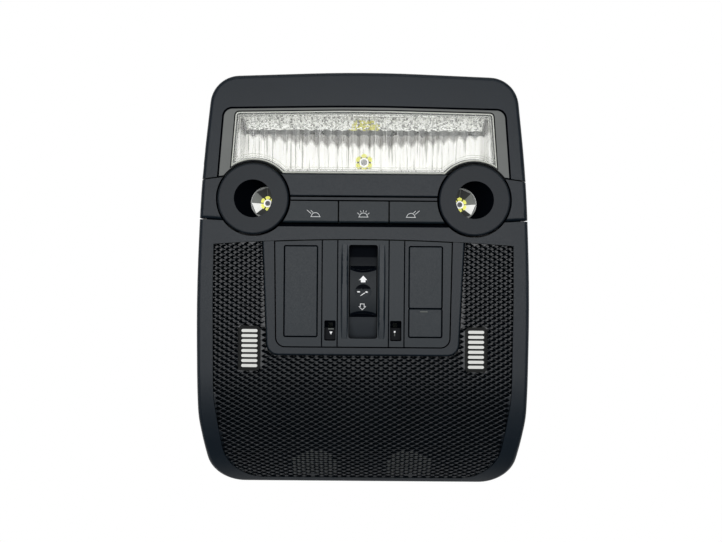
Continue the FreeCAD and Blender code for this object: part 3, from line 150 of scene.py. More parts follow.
def flat_loops(node, level):
    """Closed loops of (x, y) round a node's flat faces at a height; the faces lie on their left."""
    mesh = nodes[node].data
    borders = set()
    for polygon in mesh.polygons:
        places = [mesh.vertices[index].co for index in polygon.vertices]
        off_level = any(abs(place.z / MM - level) > LEVEL_SLACK for place in places)
        if off_level or polygon.normal.z < FLAT_NORMAL:
            continue
        corners = [(round(place.x / MM, 3), round(place.y / MM, 3)) for place in places]
        for edge in zip(corners, corners[1:] + corners[:1]):
            if edge[::-1] in borders:
                borders.remove(edge[::-1])
            else:
                borders.add(edge)
    following = dict(sorted(borders))
    loops = []
    while following:
        here = next(iter(following))
        loop = []
        while here in following:
            after = following.pop(here)
            loop.append(here)
            here = after
        loops.append(loop)
    return sorted(loops, key=len, reverse=True)


SHARPEST = 0.5             # keeps the points of sharp corners from running far out


def inset(loop, distance):
    """The loop moved to its left by a distance."""
    shifted = []
    for i, here in enumerate(loop):
        back = (Vector(here) - Vector(loop[i - 1])).normalized()
        ahead = (Vector(loop[(i + 1) % len(loop)]) - Vector(here)).normalized()
        side = Vector((-back.y - ahead.y, back.x + ahead.x))
        share = distance / max(SHARPEST, 1 + back.dot(ahead))
        shifted.append((here[0] + side.x * share, here[1] + side.y * share))
    return shifted


def band(lower, upper, count):
    """Faces between two closed rings of points, each given by the number of its first point."""
    return [[lower + i, lower + (i + 1) % count, upper + (i + 1) % count, upper + i] for i in range(count)]


def add_bead(name, loop, near, far, bottom, top, material, slot):
    """Low bead that follows a loop, between two distances inside it and two heights."""
    rings = [(near, bottom), (near, top), (far, top), (far, bottom)]
    count = len(loop)
    points = [(x, y, z) for distance, z in rings for x, y in inset(loop, distance)]
    faces = []
    for ring in range(len(rings) - 1):
        faces += band(ring * count, (ring + 1) * count, count)
    add_piece(name, points, faces, [material], "console")


def add_plates(name, outlines, level, material, body, proud=0.05):
    """Thin printed or moulded plates on a surface; each outline runs anticlockwise."""
    points, faces = [], []
    for outline in outlines:
        start, count = len(points), len(outline)
        points += [(x, y, level(x, y) - proud) for x, y in outline]
        points += [(x, y, level(x, y) + proud) for x, y in outline]
        faces.append([start + count + i for i in range(count)])
        faces += band(start, start + count, count)
    add_piece(name, points, faces, [material], body)


# Outlines of marks

def bar(start, end, width):
    """Straight line of a width."""
    along = (Vector(end) - Vector(start)).normalized() * width / 2
    across = Vector((-along.y, along.x))
    corners = (Vector(start) - across, Vector(end) - across, Vector(end) + across, Vector(start) + across)
    return [tuple(corner) for corner in corners]


def ellipse(x, y, half_w, half_h, steps=14):
    turns = [2 * math.pi * i / steps for i in range(steps)]
    return [(x + half_w * math.cos(turn), y + half_h * math.sin(turn)) for turn in turns]


def half_ring(half_w, height, line, base, steps=14):
    """Upper half of an oval line, as one plate for each step."""
    turns = [math.pi * i / steps for i in range(steps + 1)]
    outer = [(half_w * math.cos(turn), base + height * math.sin(turn)) for turn in turns]
    inner = [((half_w - line) * math.cos(turn), base + (height - line) * math.sin(turn)) for turn in turns]
    return [[outer[i], outer[i + 1], inner[i + 1], inner[i]] for i in range(steps)]


def closed_line(corners, width):
    """Line of a width along the inside of an anticlockwise outline, as one plate for each side."""
    inner = inset(corners, width)
    plates = []
    for i in range(len(corners)):
        j = (i + 1) % len(corners)
        plates.append([corners[i], corners[j], inner[j], inner[i]])
    return plates


def moved(outlines, x, y, side=1):
    """Outlines placed at (x, y); side -1 turns them into their mirror image."""
    placed = [[(x + side * px, y + py) for px, py in outline] for outline in outlines]
    return placed if side > 0 else [outline[::-1] for outline in placed]


# Materials

def new_material(name):
    material = bpy.data.materials.new(name)
    material.use_nodes = True
    tree = material.node_tree
    return material, tree, tree.nodes["Principled BSDF"]


def noise(tree, scale, detail=3.0):
    """Noise value in the object's own coordinates; scale is per metre."""
    place = tree.nodes.new("ShaderNodeTexCoord")
    texture = tree.nodes.new("ShaderNodeTexNoise")
    texture.inputs["Scale"].default_value = scale
    texture.inputs["Detail"].default_value = detail
    tree.links.new(place.outputs["Object"], texture.inputs["Vector"])
    return texture.outputs["Fac"]


def spread(tree, value, low_end, high_end, start=0.3, end=0.7):
    """Maps a value to a range."""
    node = tree.nodes.new("ShaderNodeMapRange")
    node.inputs["From Min"].default_value = start
    node.inputs["From Max"].default_value = end
    node.inputs["To Min"].default_value = low_end
    node.inputs["To Max"].default_value = high_end
    tree.links.new(value, node.inputs["Value"])
    return node.outputs["Result"]


def tinted(tree, value, dark, light, start=0.3, end=0.7):
    """Blends two colours by a value."""
    ramp = tree.nodes.new("ShaderNodeValToRGB")
    ramp.color_ramp.elements[0].position = start
    ramp.color_ramp.elements[0].color = (*dark, 1.0)
    ramp.color_ramp.elements[1].position = end
    ramp.color_ramp.elements[1].color = (*light, 1.0)
    tree.links.new(value, ramp.inputs["Fac"])
    return ramp.outputs["Color"]


def bump(tree, shader, value, strength, height):
    """Bumps from a value; their height is in millimetres."""
    node = tree.nodes.new("ShaderNodeBump")
    node.inputs["Strength"].default_value = strength
    node.inputs["Distance"].default_value = height * MM
    tree.links.new(value, node.inputs["Height"])
    tree.links.new(node.outputs["Normal"], shader.inputs["Normal"])


def combine(tree, operation, *values):
    """Result of a maths node; each value is a number or the output of another node."""
    node = tree.nodes.new("ShaderNodeMath")
    node.operation = operation
    for socket, value in zip(node.inputs, values):
        if isinstance(value, float):
            socket.default_value = value
        else:
            tree.links.new(value, socket)
    return node.outputs[0]


def scaled(colour, factor):
    return tuple(part * factor for part in colour)


WHITE = (1.0, 1.0, 1.0)
MOTTLE_SCALE = 40.0        # noise scales are per metre
SOFT_DETAIL = 2.0
GRAIN_STRENGTH = 0.5
GRAIN_GLOSS = 0.06         # roughness differs by this much either way
RIPPLE_SCALE = 120.0
RIPPLE_STRENGTH = 0.4
RIPPLE_DEPTH = 0.1
METAL_DULL = 0.94          # darkest share of a metal's colour
METAL_GLOSS = (0.8, 1.2)   # shares of its roughness
CLEAR_SCALE = 60.0
CLEAR_TINT = (0.96, 0.97, 0.96)
CLEAR_GLOSS = (0.03, 0.07)
CLEAR_IOR = 1.4
LIT_SCALE = 300.0
LIT_DULL = 0.93
LIT_GLOSS = 0.05


def moulded(name, colour, roughness, grain=1400.0, depth=0.025, mottling=0.06, specular=0.31):
    """Grained plastic: fine bumps and gloss from the mould, with slow changes of colour."""
    material, tree, shader = new_material(name)
    slow = noise(tree, MOTTLE_SCALE)
    fine = noise(tree, grain, SOFT_DETAIL)
    colours = tinted(tree, slow, scaled(colour, 1 - mottling), scaled(colour, 1 + mottling))
    gloss = spread(tree, fine, roughness - GRAIN_GLOSS, roughness + GRAIN_GLOSS)
    tree.links.new(colours, shader.inputs["Base Color"])
    tree.links.new(gloss, shader.inputs["Roughness"])
    shader.inputs["Specular IOR Level"].default_value = specular
    bump(tree, shader, fine, GRAIN_STRENGTH, depth)
    return material


def metal(name, colour, roughness):
    """Coated or rolled metal with slow ripples."""
    material, tree, shader = new_material(name)
    slow = noise(tree, RIPPLE_SCALE, SOFT_DETAIL)
    colours = tinted(tree, slow, scaled(colour, METAL_DULL), colour)
    gloss = spread(tree, slow, roughness * METAL_GLOSS[0], roughness * METAL_GLOSS[1])
    tree.links.new(colours, shader.inputs["Base Color"])
    tree.links.new(gloss, shader.inputs["Roughness"])
    shader.inputs["Metallic"].default_value = 1.0
    bump(tree, shader, slow, RIPPLE_STRENGTH, RIPPLE_DEPTH)
    return material


def clear_plastic(name):
    """Thin clear plastic: light passes, and the surface reflects more where it is seen at a slant."""
    material, tree, shader = new_material(name)
    slow = noise(tree, CLEAR_SCALE)
    tree.links.new(tinted(tree, slow, CLEAR_TINT, WHITE), shader.inputs["Base Color"])
    tree.links.new(spread(tree, slow, *CLEAR_GLOSS), shader.inputs["Roughness"])
    shader.inputs["Metallic"].default_value = 1.0
    slant = tree.nodes.new("ShaderNodeFresnel")
    slant.inputs["IOR"].default_value = CLEAR_IOR
    tree.links.new(slant.outputs["Fac"], shader.inputs["Alpha"])
    return material


def lit(name, colour, glow, roughness=0.4):
    """White, grey or phosphor surface with painted light: it glows, though nothing in it is switched on."""
    material, tree, shader = new_material(name)
    slow = noise(tree, LIT_SCALE)
    colours = tinted(tree, slow, scaled(colour, LIT_DULL), colour)
    tree.links.new(colours, shader.inputs["Base Color"])
    tree.links.new(colours, shader.inputs["Emission Color"])
    gloss = spread(tree, slow, roughness - LIT_GLOSS, roughness + LIT_GLOSS)
    tree.links.new(gloss, shader.inputs["Roughness"])
    shader.inputs["Emission Strength"].default_value = glow
    return material


FLUTE_WHITE_Y = 90.5       # bright flutes of the reflector end here in the middle, and higher beside it; past it, painted shade
FLUTE_BOW = 1.15           # rise of that line, in metres for each square metre
FLUTE_FADE = 3.2
FLUTE_SHADE_GREY = (0.26, 0.255, 0.235)
FLUTE_BRIGHT = (0.93, 0.93, 0.90)
FLUTE_RIPPLE_SCALE = 200.0
FLUTE_RIPPLE_STRENGTH = 0.3
FLUTE_RIPPLE_DEPTH = 0.15
FLUTE_GLOSS = (0.18, 0.3)
FLUTE_SPECULAR = 0.2
STREAK_SCALE = 650.0
STREAK_STRETCH = (1.0, 0.04, 0.0)    # streaks run along the flutes
STREAK_GREY = (0.5, 0.5, 0.48)
STREAK_EDGES = (0.36, 0.46)


def fluted_white(name):
    """Reflector floor: bright flutes that end in points and fade to a warm grey of painted shade under the
    curved wall.
    """
    material, tree, shader = new_material(name)
    place = tree.nodes.new("ShaderNodeTexCoord")
    split = tree.nodes.new("ShaderNodeSeparateXYZ")
    tree.links.new(place.outputs["Object"], split.inputs[0])
    across = split.outputs["X"]
    joint = combine(tree, "PINGPONG", across, FLUTE_PITCH / 2 * MM)
    straight = combine(tree, "ADD", joint, split.outputs["Y"])
    square = combine(tree, "MULTIPLY", across, across)
    reach = combine(tree, "MULTIPLY_ADD", square, -FLUTE_BOW, straight)
    bright = spread(tree, reach, 1.0, 0.0, FLUTE_WHITE_Y * MM, (FLUTE_WHITE_Y + FLUTE_FADE) * MM)
    colours = tinted(tree, bright, FLUTE_SHADE_GREY, FLUTE_BRIGHT, 0.0, 1.0)
    stretch = tree.nodes.new("ShaderNodeMapping")
    stretch.inputs["Scale"].default_value = STREAK_STRETCH
    tree.links.new(place.outputs["Object"], stretch.inputs["Vector"])
    lines = tree.nodes.new("ShaderNodeTexNoise")
    lines.inputs["Scale"].default_value = STREAK_SCALE
    tree.links.new(stretch.outputs[0], lines.inputs["Vector"])
    streaks = tinted(tree, lines.outputs["Fac"], STREAK_GREY, WHITE, *STREAK_EDGES)
    shaded = tree.nodes.new("ShaderNodeMix")
    shaded.data_type = "RGBA"
    shaded.blend_type = "MULTIPLY"
    shaded.inputs["Factor"].default_value = 1.0
    tree.links.new(colours, shaded.inputs["A"])
    tree.links.new(streaks, shaded.inputs["B"])
    tree.links.new(shaded.outputs["Result"], shader.inputs["Base Color"])
    slow = noise(tree, FLUTE_RIPPLE_SCALE, SOFT_DETAIL)
    tree.links.new(spread(tree, slow, *FLUTE_GLOSS), shader.inputs["Roughness"])
    shader.inputs["Specular IOR Level"].default_value = FLUTE_SPECULAR
    bump(tree, shader, slow, FLUTE_RIPPLE_STRENGTH, FLUTE_RIPPLE_DEPTH)
    return material


trim = moulded("console_trim", (0.005, 0.010, 0.016), 0.45)
panel = moulded("switch_plastic", (0.007, 0.013, 0.019), 0.45)
key_plastic = moulded("key_plastic", (0.007, 0.013, 0.018), 0.46)
ring_plastic = moulded("ring_plastic", (0.007, 0.011, 0.016), 0.48, specular=0.26)
grille_plastic = moulded("grille_plastic", (0.003, 0.006, 0.010), 0.34, mottling=0.12, specular=0.5)
# Painted shade: pit floors a darker copy of the grille's plastic, pit walls and main ribs black
shaded_pit_plastic = moulded("shaded_pit_plastic", (0.002, 0.004, 0.007), 0.38, specular=0.42)
pit_shade_black = moulded("pit_shade_black", (0.002, 0.003, 0.004), 0.6, specular=0.0)
# Painted shade: black for joints, pockets, wells and gaps
painted_shade_black = moulded("painted_shade_black", (0.002, 0.003, 0.005), 0.6, specular=0.0)
lock_plastic = moulded("lock_plastic", (0.006, 0.007, 0.009), 0.5, specular=0.06)
frame_grey = moulded("lens_frame_grey", (0.145, 0.153, 0.148), 0.5)
housing_plastic = moulded("housing_plastic", (0.03, 0.031, 0.033), 0.6, grain=900.0)
slot_plastic = moulded("slot_plastic", (0.010, 0.011, 0.011), 0.5, specular=0.1)
# Painted shade: the fleece darkened as it shows at the foot of the pits
fleece_shaded = moulded("fleece_shaded", (0.062, 0.066, 0.064), 0.9, grain=2500.0, depth=0.1, specular=0.1)
fleece_cloth = moulded("fleece_cloth", (0.55, 0.55, 0.53), 0.9, grain=2500.0, depth=0.2)
# Painted shade: the board darkened so it reads as shade through the pockets
shaded_board_green = moulded("shaded_board_green", (0.005, 0.016, 0.010), 0.5, grain=500.0)
switch_body = moulded("switch_body", (0.04, 0.04, 0.042), 0.45)
microphone_black = moulded("microphone_black", (0.025, 0.025, 0.027), 0.5)
# Painted shade for the dimple and the far upper wing
painted_shade_plastic = moulded("painted_shade_plastic", (0.003, 0.004, 0.006), 0.6, specular=0.02)
guard_plastic = moulded("guard_plastic", (0.009, 0.015, 0.021), 0.4, depth=0.004)
# Painted shade on the upper wing, painted light on the lower one
painted_shade_wing = moulded("painted_shade_wing", (0.005, 0.007, 0.010), 0.5, specular=0.15)
painted_light_wing = moulded("painted_light_wing", (0.030, 0.035, 0.041), 0.4)
knob_plastic = moulded("knob_plastic", (0.008, 0.012, 0.016), 0.46, specular=0.2)
mark_grey = moulded("mark_grey", (0.10, 0.11, 0.10), 0.5)
# Painted reflections of the crumpled film on the dome reflector, glowing a little
foil_reflection_white = lit("foil_reflection_white", (0.86, 0.87, 0.83), 0.15, 0.2)
foil_reflection_grey = lit("foil_reflection_grey", (0.48, 0.49, 0.46), 0.15, 0.2)
foil_reflection_dark = lit("foil_reflection_dark", (0.20, 0.205, 0.19), 0.1, 0.2)
foil_reflection_yellow = lit("foil_reflection_yellow", (0.56, 0.54, 0.09), 0.15, 0.2)
# Painted highlight lines on the lens over its flutes
highlight_line_white = lit("highlight_line_white", (0.70, 0.71, 0.68), 0.1, 0.2)
wall_grey = metal("wall_grey", (0.30, 0.31, 0.30), 0.3)
# Painted light, half light and shade on the reading reflectors' facets, all glowing
cup_painted_light = lit("cup_painted_light", (0.78, 0.79, 0.77), 0.55, 0.2)
cup_painted_half_light = lit("cup_painted_half_light", (0.20, 0.21, 0.20), 0.3, 0.2)
cup_painted_shade = lit("cup_painted_shade", (0.045, 0.047, 0.047), 0.3, 0.2)
steel = metal("spring_steel", (0.62, 0.62, 0.6), 0.3)
brass = metal("pin_brass", (0.83, 0.65, 0.33), 0.25)
lens_clear = clear_plastic("lens_clear")
# Painted highlight on the lens's slanting edge and rim lines
lens_edge_highlight = lit("lens_edge_highlight", (0.62, 0.64, 0.58), 0.1, 0.2)
dome_flutes = fluted_white("dome_flutes")
# Own white of the diffusers, marks and icons, with a little painted glow
diffuser_white = lit("diffuser_white", (0.74, 0.75, 0.72), 0.05)
mark_white = lit("mark_white", (0.86, 0.87, 0.88), 0.1)
icon_white = lit("icon_white", (0.60, 0.62, 0.63), 0.05)
# Own colours of the lamp chips and stars, with painted glow: none of them is switched on
led_white = lit("led_white", (0.84, 0.84, 0.80), 0.15)
led_yellow = lit("led_yellow", (0.66, 0.66, 0.13), 0.2)
star_white = lit("star_white", (0.84, 0.84, 0.80), 0.6)
star_yellow = lit("star_yellow", (0.66, 0.66, 0.13), 0.7)
led_grey = lit("led_grey", (0.26, 0.27, 0.26), 0.1)
led_eye = lit("led_eye", (0.16, 0.165, 0.15), 0.1)
led_dark = lit("led_dark", (0.03, 0.035, 0.06), 0.0)

FINISHES = {
    trim: ["upper_bezel", "centre_bar", "lower_frame", "switch_surround"],
    ring_plastic: ["reading_bezel_left", "reading_bezel_right"],
    panel: ["switch_panel", "left_cover", "right_cover", "indicator_window", "slider_carriage"],
    knob_plastic: ["slider_knob"],
    key_plastic: ["left_key", "dome_key", "right_key"],
    shaded_pit_plastic: ["grille_panel"],
    lock_plastic: ["lock_left", "lock_right"],
    frame_grey: ["lens_frame"],
    lens_clear: ["dome_lens"],
    dome_flutes: ["dome_reflector"],
    cup_painted_shade: ["reading_reflector_left", "reading_reflector_right"],
    led_yellow: ["dome_led", "reading_led_left", "reading_led_right"],
    diffuser_white: ["diffuser_left", "diffuser_right"],
    housing_plastic: [
        "rear_housing", "connector_header", "slot_lamp_holder_left", "slot_lamp_holder_right",
    ],
    slot_plastic: ["slot_grille_left", "slot_grille_right"],
    shaded_board_green: ["main_board"],
    switch_body: ["key_switches", "slide_switch"],
    brass: ["connector_pins"],
    steel: ["housing_screws", "spring_clips"],
    fleece_cloth: ["microphone_fleece_left", "microphone_fleece_right"],
    microphone_black: ["microphone_left", "microphone_right"],
}


def dress_nodes():
    """Gives each CAD node its finish."""
    for material, names in FINISHES.items():
        for name in names:
            for slot in nodes[name].material_slots:
                slot.material = material


def paint_faces(node, material, chosen):
    """Adds a finish for some faces of a CAD node; chosen tests their middle, in millimetres, and normal."""
    mesh = nodes[node].data
    mesh.materials.append(material)
    number = len(mesh.materials) - 1
    for polygon in mesh.polygons:
        if chosen(polygon.center / MM, polygon.normal):
            polygon.material_index = number


# Painted shade in joints

SIDE_X = 92.0              # joints lie inside this, the console's own sides outside
JOINT_DEPTH = 0.9          # what lies deeper below the face gets the painted shade of a joint
PANEL_DEPTH = 0.75
KNOB_REACH = 16.2          # half length of the knob, between the wings of the slider; the carriage there gets painted shade
WING_SHADE = 22.0          # the upper wing is in deeper painted shade past this, from the middle of the slider
GUARD_STEP = 0.2           # tops of the guards beside the slider start this far above the panel
DIMPLE_R = 5.3
DIMPLE_SLOPE = -0.1
DIMPLE_DEPTH = 2.0
WELL_SPAN = 1.6            # lamp wells lean this far past the ring's hole
WELL_STEEP = 0.5           # walls of the wells look up less than this
OPENING_GAP = 1.5
LAMP_OPENING_Y = high("lens_frame", 1) + OPENING_GAP

ring_places = {side: centre("reading_bezel_" + side) for side in SIDES}
led_places = {side: centre("reading_led_" + side) for side in SIDES}
dome_led_place = centre("dome_led")
knob_place = centre("slider_knob")


def well_test(x, y):
    """Returns a test for the painted shade in the slanting well of the reading lamp ring at (x, y)."""
    def in_well(place, normal):
        away = math.hypot(place.x - x, place.y - y)
        inside = away < RING_HOLE_R + WELL_SPAN or place.z < FACE_Z - JOINT_DEPTH
        return inside and normal.z < WELL_STEEP

    return in_well


def darken_joints():
    """Painted shade: black on the walls and floors inside the joints, where hardly any light comes."""
    def in_joint(place, normal):
        return place.z < FACE_Z - JOINT_DEPTH and abs(place.x) < SIDE_X

    for name in ("centre_bar", "switch_surround", "left_key", "dome_key", "right_key"):
        paint_faces(name, painted_shade_black, in_joint)
    paint_faces("upper_bezel", painted_shade_black, lambda p, n: in_joint(p, n) and p.y < LAMP_OPENING_Y)
    paint_faces("lower_frame", painted_shade_black, lambda p, n: in_joint(p, n) and p.y > Y_BEND)
    paint_faces("switch_panel", painted_shade_black, lambda p, n: p.z < FACE_Z - PANEL_DEPTH)
    for side, (x, y, _) in ring_places.items():
        paint_faces("reading_bezel_" + side, painted_shade_black, well_test(x, y))


def in_dimple(place, normal):
    """Upper slope of the thumb dimple in the slider knob, which gets painted shade."""
    away = math.hypot(place.x - knob_place[0], place.y - knob_place[1])
    return away < DIMPLE_R and normal.y < DIMPLE_SLOPE and place.z > FACE_Z - DIMPLE_DEPTH


def dress_slider():
    """Painted shade and light on the slider's wings, gap and knob dimple, and the finish of the guards
    beside it.
    """
    middle = knob_place[1]
    guard_z = FACE_Z - PANEL_DEPTH + GUARD_STEP
    # Painted shade on the upper wing, deeper past WING_SHADE, and painted light on the lower wing
    paint_faces("slider_carriage", painted_shade_wing, lambda p, n: p.y > middle)
    paint_faces("slider_carriage", painted_light_wing, lambda p, n: p.y < middle)
    paint_faces("slider_carriage", painted_shade_plastic, lambda p, n: p.y - middle > WING_SHADE)
    # Painted shade on the carriage where it shows in the gaps round the knob
    paint_faces("slider_carriage", painted_shade_black, lambda p, n: abs(p.y - middle) < KNOB_REACH)
    # Painted shade on the dimple's upper slope
    paint_faces("slider_knob", painted_shade_plastic, in_dimple)
    paint_faces("switch_panel", guard_plastic, lambda p, n: p.z > guard_z and n.z > 0)


SHADE_Z = 47.6             # behind the face plates
SHADE_HALF_H = 2.2
ARCH_R = 1227.0            # crown of the joint above the grille
ARCH_SPAN = (62.0, 95.5)
WING_SPAN = (86.5, 100.0)
JOINT_TOP_SLANT = 7.5      # degrees
JOINT_LOW_SLANT = 3.0
JOINT_X = 93.3             # the slanted joints start here, beside the rings
JOINT_TOP_Y = 65.8
JOINT_LOW_Y = 39.4
SHADE_PARTS = 8


def make_joint_shades():
    """Dark strips of painted shade behind the joints, standing in for the ledges of the trims that close
    them.
    """
    arch_y = high("switch_surround", 1)

    def arch(x):
        return arch_y - ARCH_R + math.sqrt(ARCH_R ** 2 - x ** 2)

    def top_joint(x):
        return JOINT_TOP_Y + (JOINT_X - x) * math.tan(math.radians(JOINT_TOP_SLANT))

    def low_joint(x):
        return JOINT_LOW_Y - (JOINT_X - x) * math.tan(math.radians(JOINT_LOW_SLANT))

    points, faces = [], []
    for line, (start, end) in ((arch, ARCH_SPAN), (top_joint, WING_SPAN), (low_joint, WING_SPAN)):
        for side in (-1, 1):
            first = len(points)
            for i in range(SHADE_PARTS + 1):
                x = start + (end - start) * i / SHADE_PARTS
                points.append((side * x, line(x) - SHADE_HALF_H, SHADE_Z))
                points.append((side * x, line(x) + SHADE_HALF_H, SHADE_Z))
            for i in range(SHADE_PARTS):
                a = first + 2 * i
                faces.append([a, a + 2, a + 3, a + 1] if side > 0 else [a, a + 1, a + 3, a + 2])
    add_piece("joint_shades", points, faces, [painted_shade_black], "console")


# Reading lamps

CUP_FOOT_R = 2.6
CUP_RIM_R = 9.9
CUP_FOOT_Z = 31.7
CUP_RIM_Z = 37.05
CUP_FACETS = 8
CUP_RIB_W = 0.22
CUP_RIB_LIFT = 0.12
CUP_LINE_W = 0.5           # line round the rim
CUP_LINE_LIFT = 0.15
CUP_LINE_STEPS = 48
FACET_LEAN = (0.2, 0.95)   # facets look up between these
# Facets that get the painted light and the painted half light
BRIGHT_FACET = (0, 45)     # degrees from straight outboard
MIDDLE_FACET = (-45, 0)


def outboard_turn(dx, dy, side):
    """Angle of a direction in degrees, from straight outboard, growing towards the grille."""
    outward = -1 if side == "left" else 1
    return math.degrees(math.atan2(-dy, outward * dx))


def dress_cup(side):
    """Painted light on a reading reflector's facets: one lit, its upper neighbour half lit, the others in
    painted shade.
    """
    x, y, _ = led_places[side]

    def facet(low_turn, high_turn):
        def chosen(place, normal):
            turn = outboard_turn(place.x - x, place.y - y, side)
            return FACET_LEAN[0] < normal.z < FACET_LEAN[1] and low_turn < turn < high_turn

        return chosen

    paint_faces("reading_reflector_" + side, cup_painted_light, facet(*BRIGHT_FACET))
    paint_faces("reading_reflector_" + side, cup_painted_half_light, facet(*MIDDLE_FACET))


def make_cup_ribs(side):
    """Ribs between the facets of a reading reflector, and the line round its rim, in the painted half
    light.
    """
    x, y, _ = led_places[side]
    points, faces = [], []
    for i in range(CUP_FACETS):
        turn = 2 * math.pi * i / CUP_FACETS
        along = Vector((math.cos(turn), math.sin(turn)))
        across = Vector((-along.y, along.x)) * CUP_RIB_W / 2
        start = len(points)
        for radius, level in ((CUP_FOOT_R, CUP_FOOT_Z), (CUP_RIM_R, CUP_RIM_Z)):
            for edge in (-1, 0, 1):
                spot = along * radius + across * edge
                points.append((x + spot.x, y + spot.y, level + CUP_RIB_LIFT * (edge == 0)))
        faces += [[start + 3, start + 4, start + 1, start], [start + 4, start + 5, start + 2, start + 1]]
    start = len(points)
    for radius, level in ((CUP_RIM_R, CUP_RIM_Z), (CUP_RIM_R + CUP_LINE_W, CUP_RIM_Z + CUP_LINE_LIFT)):
        points += [(px, py, level) for px, py in ellipse(x, y, radius, radius, CUP_LINE_STEPS)]
    faces += band(start, start + CUP_LINE_STEPS, CUP_LINE_STEPS)
    add_piece("cup_ribs_" + side, points, faces, [cup_painted_half_light], "console")


# Lamp chips

STAR_STEPS = 24
STAR_RINGS = (0.26, 0.36, 0.52)   # eye, grey ring and white ring, as shares of the star
PETALS = 6
PETAL_IN = 0.55
PETAL_HALF = 23.0                 # degrees
PETAL_ROUND = 0.12                # how far the outer corners of a petal draw back
PETAL_PARTS = 4
FIRST_PETAL = 90.0                # degrees, towards +Y
READING_STAR = {"top": 34.2, "size": 5.0, "drop": 0.8}
DOME_STAR = {"top": 35.2, "size": 6.0, "drop": 1.2}


def make_star(name, place, tones, top, size, drop):
    """Phosphor star over a lamp chip: a dark eye, a grey and a white ring, and six yellow petals, with
    painted glow.
    """
    points, faces, picks = [], [], []

    def put(share, turn):
        x = place[0] + size * share * math.cos(turn)
        y = place[1] + size * share * math.sin(turn)
        points.append((x, y, top - drop * share ** 2))

    for share in STAR_RINGS:
        for i in range(STAR_STEPS):
            put(share, 2 * math.pi * i / STAR_STEPS)
    faces.append(list(range(STAR_STEPS)))
    picks.append(0)
    for ring in range(len(STAR_RINGS) - 1):
        faces += band((ring + 1) * STAR_STEPS, ring * STAR_STEPS, STAR_STEPS)
        picks += [1 + ring] * STAR_STEPS
    for petal in range(PETALS):
        start = len(points)
        for i in range(PETAL_PARTS + 1):
            side = 2 * i / PETAL_PARTS - 1
            turn = math.radians(FIRST_PETAL + 360 / PETALS * petal + PETAL_HALF * side)
            put(PETAL_IN, turn)
            put(1.0 - PETAL_ROUND * abs(side), turn)
        for i in range(PETAL_PARTS):
            a = start + 2 * i
            faces.append([a, a + 1, a + 3, a + 2])
            picks.append(len(STAR_RINGS))
    add_piece(name, points, faces, tones, "console", picks=picks)


# Dome lamp

FOIL_FROM = 99.8
FOIL_TO = 107.0
FOIL_HALF = 77.4
FOIL_STEP = 0.9
FOIL_ROWS = 13
FOIL_SCALLOP = 0.9
FOIL_LIFT = 0.3
FOIL_CRUMPLE = 0.6
FOIL_JITTER_X = 0.4
FOIL_JITTER_Y = 0.25
FOIL_SEED = 7
# Part of the film with the painted reflection of the yellow lamp chip
YELLOW_HALF = 6.5
YELLOW_TOP = 104.6
SILVER_TONES = (0, 0, 0, 1, 1, 2)    # how often each painted reflection tone of the film turns up
YELLOW_TONES = (3, 3, 3, 0, 2)


def make_foil():
    """Crumpled bright film on the dome reflector's curved wall, scalloped below, in tones of painted
    reflection.
    """
    level = level_of("dome_reflector")
    chance = random.Random(FOIL_SEED)
    columns = int(2 * FOIL_HALF / FOIL_STEP)
    points, faces, picks = [], [], []
    for row in range(FOIL_ROWS + 1):
        for column in range(columns + 1):
            x = -FOIL_HALF + 2 * FOIL_HALF * column / columns
            start = FOIL_FROM + FOIL_SCALLOP * (1 - abs(math.cos(math.pi * x / FLUTE_PITCH)))
            y = start + (FOIL_TO - start) * row / FOIL_ROWS
            if 0 < row < FOIL_ROWS:
                y += chance.uniform(-FOIL_JITTER_Y, FOIL_JITTER_Y)
            if 0 < column < columns:
                x += chance.uniform(-FOIL_JITTER_X, FOIL_JITTER_X)
            points.append((x, y, level(x, y) + FOIL_LIFT + FOIL_CRUMPLE * chance.random()))
    for row in range(FOIL_ROWS):
        for column in range(columns):
            a = row * (columns + 1) + column
            faces.append([a, a + 1, a + columns + 2, a + columns + 1])
            x, y = points[a][:2]
            half = YELLOW_HALF + (YELLOW_TOP - y)
            tones = YELLOW_TONES if abs(x) < half and y < YELLOW_TOP else SILVER_TONES
            picks.append(chance.choice(tones))
    materials = [foil_reflection_white, foil_reflection_grey, foil_reflection_dark, foil_reflection_yellow]
    add_piece("dome_foil", points, faces, materials, "console", picks=picks)


LENS_TOP = high("dome_lens", 2)
FRAME_TOP = high("lens_frame", 2)
WALL_LEAN = -0.25          # the curved wall of the reflector leans towards -Y more than this
EDGE_LEAN = (0.3, 0.95)    # slanting edge of the lens, which gets a painted highlight
EDGE_DEPTH = 0.75
RIM_LINES = ((-0.25, 0.15), (1.3, 1.6), (2.8, 3.05))   # painted highlight lines, inwards from the edge of the lens's flat top
RIM_RISE = 0.06
BEAD_FOOT = 0.3
LENS_JOINT_W = 0.55
LENS_JOINT_RISE = 0.05
# Painted highlight lines on the lens over its flutes
FLUTE_LINE_W = 0.22
FLUTE_LINE_FROM = 84.0
FLUTE_LINE_TO = 106.8
FLUTE_LINES = 10           # on each side of the middle


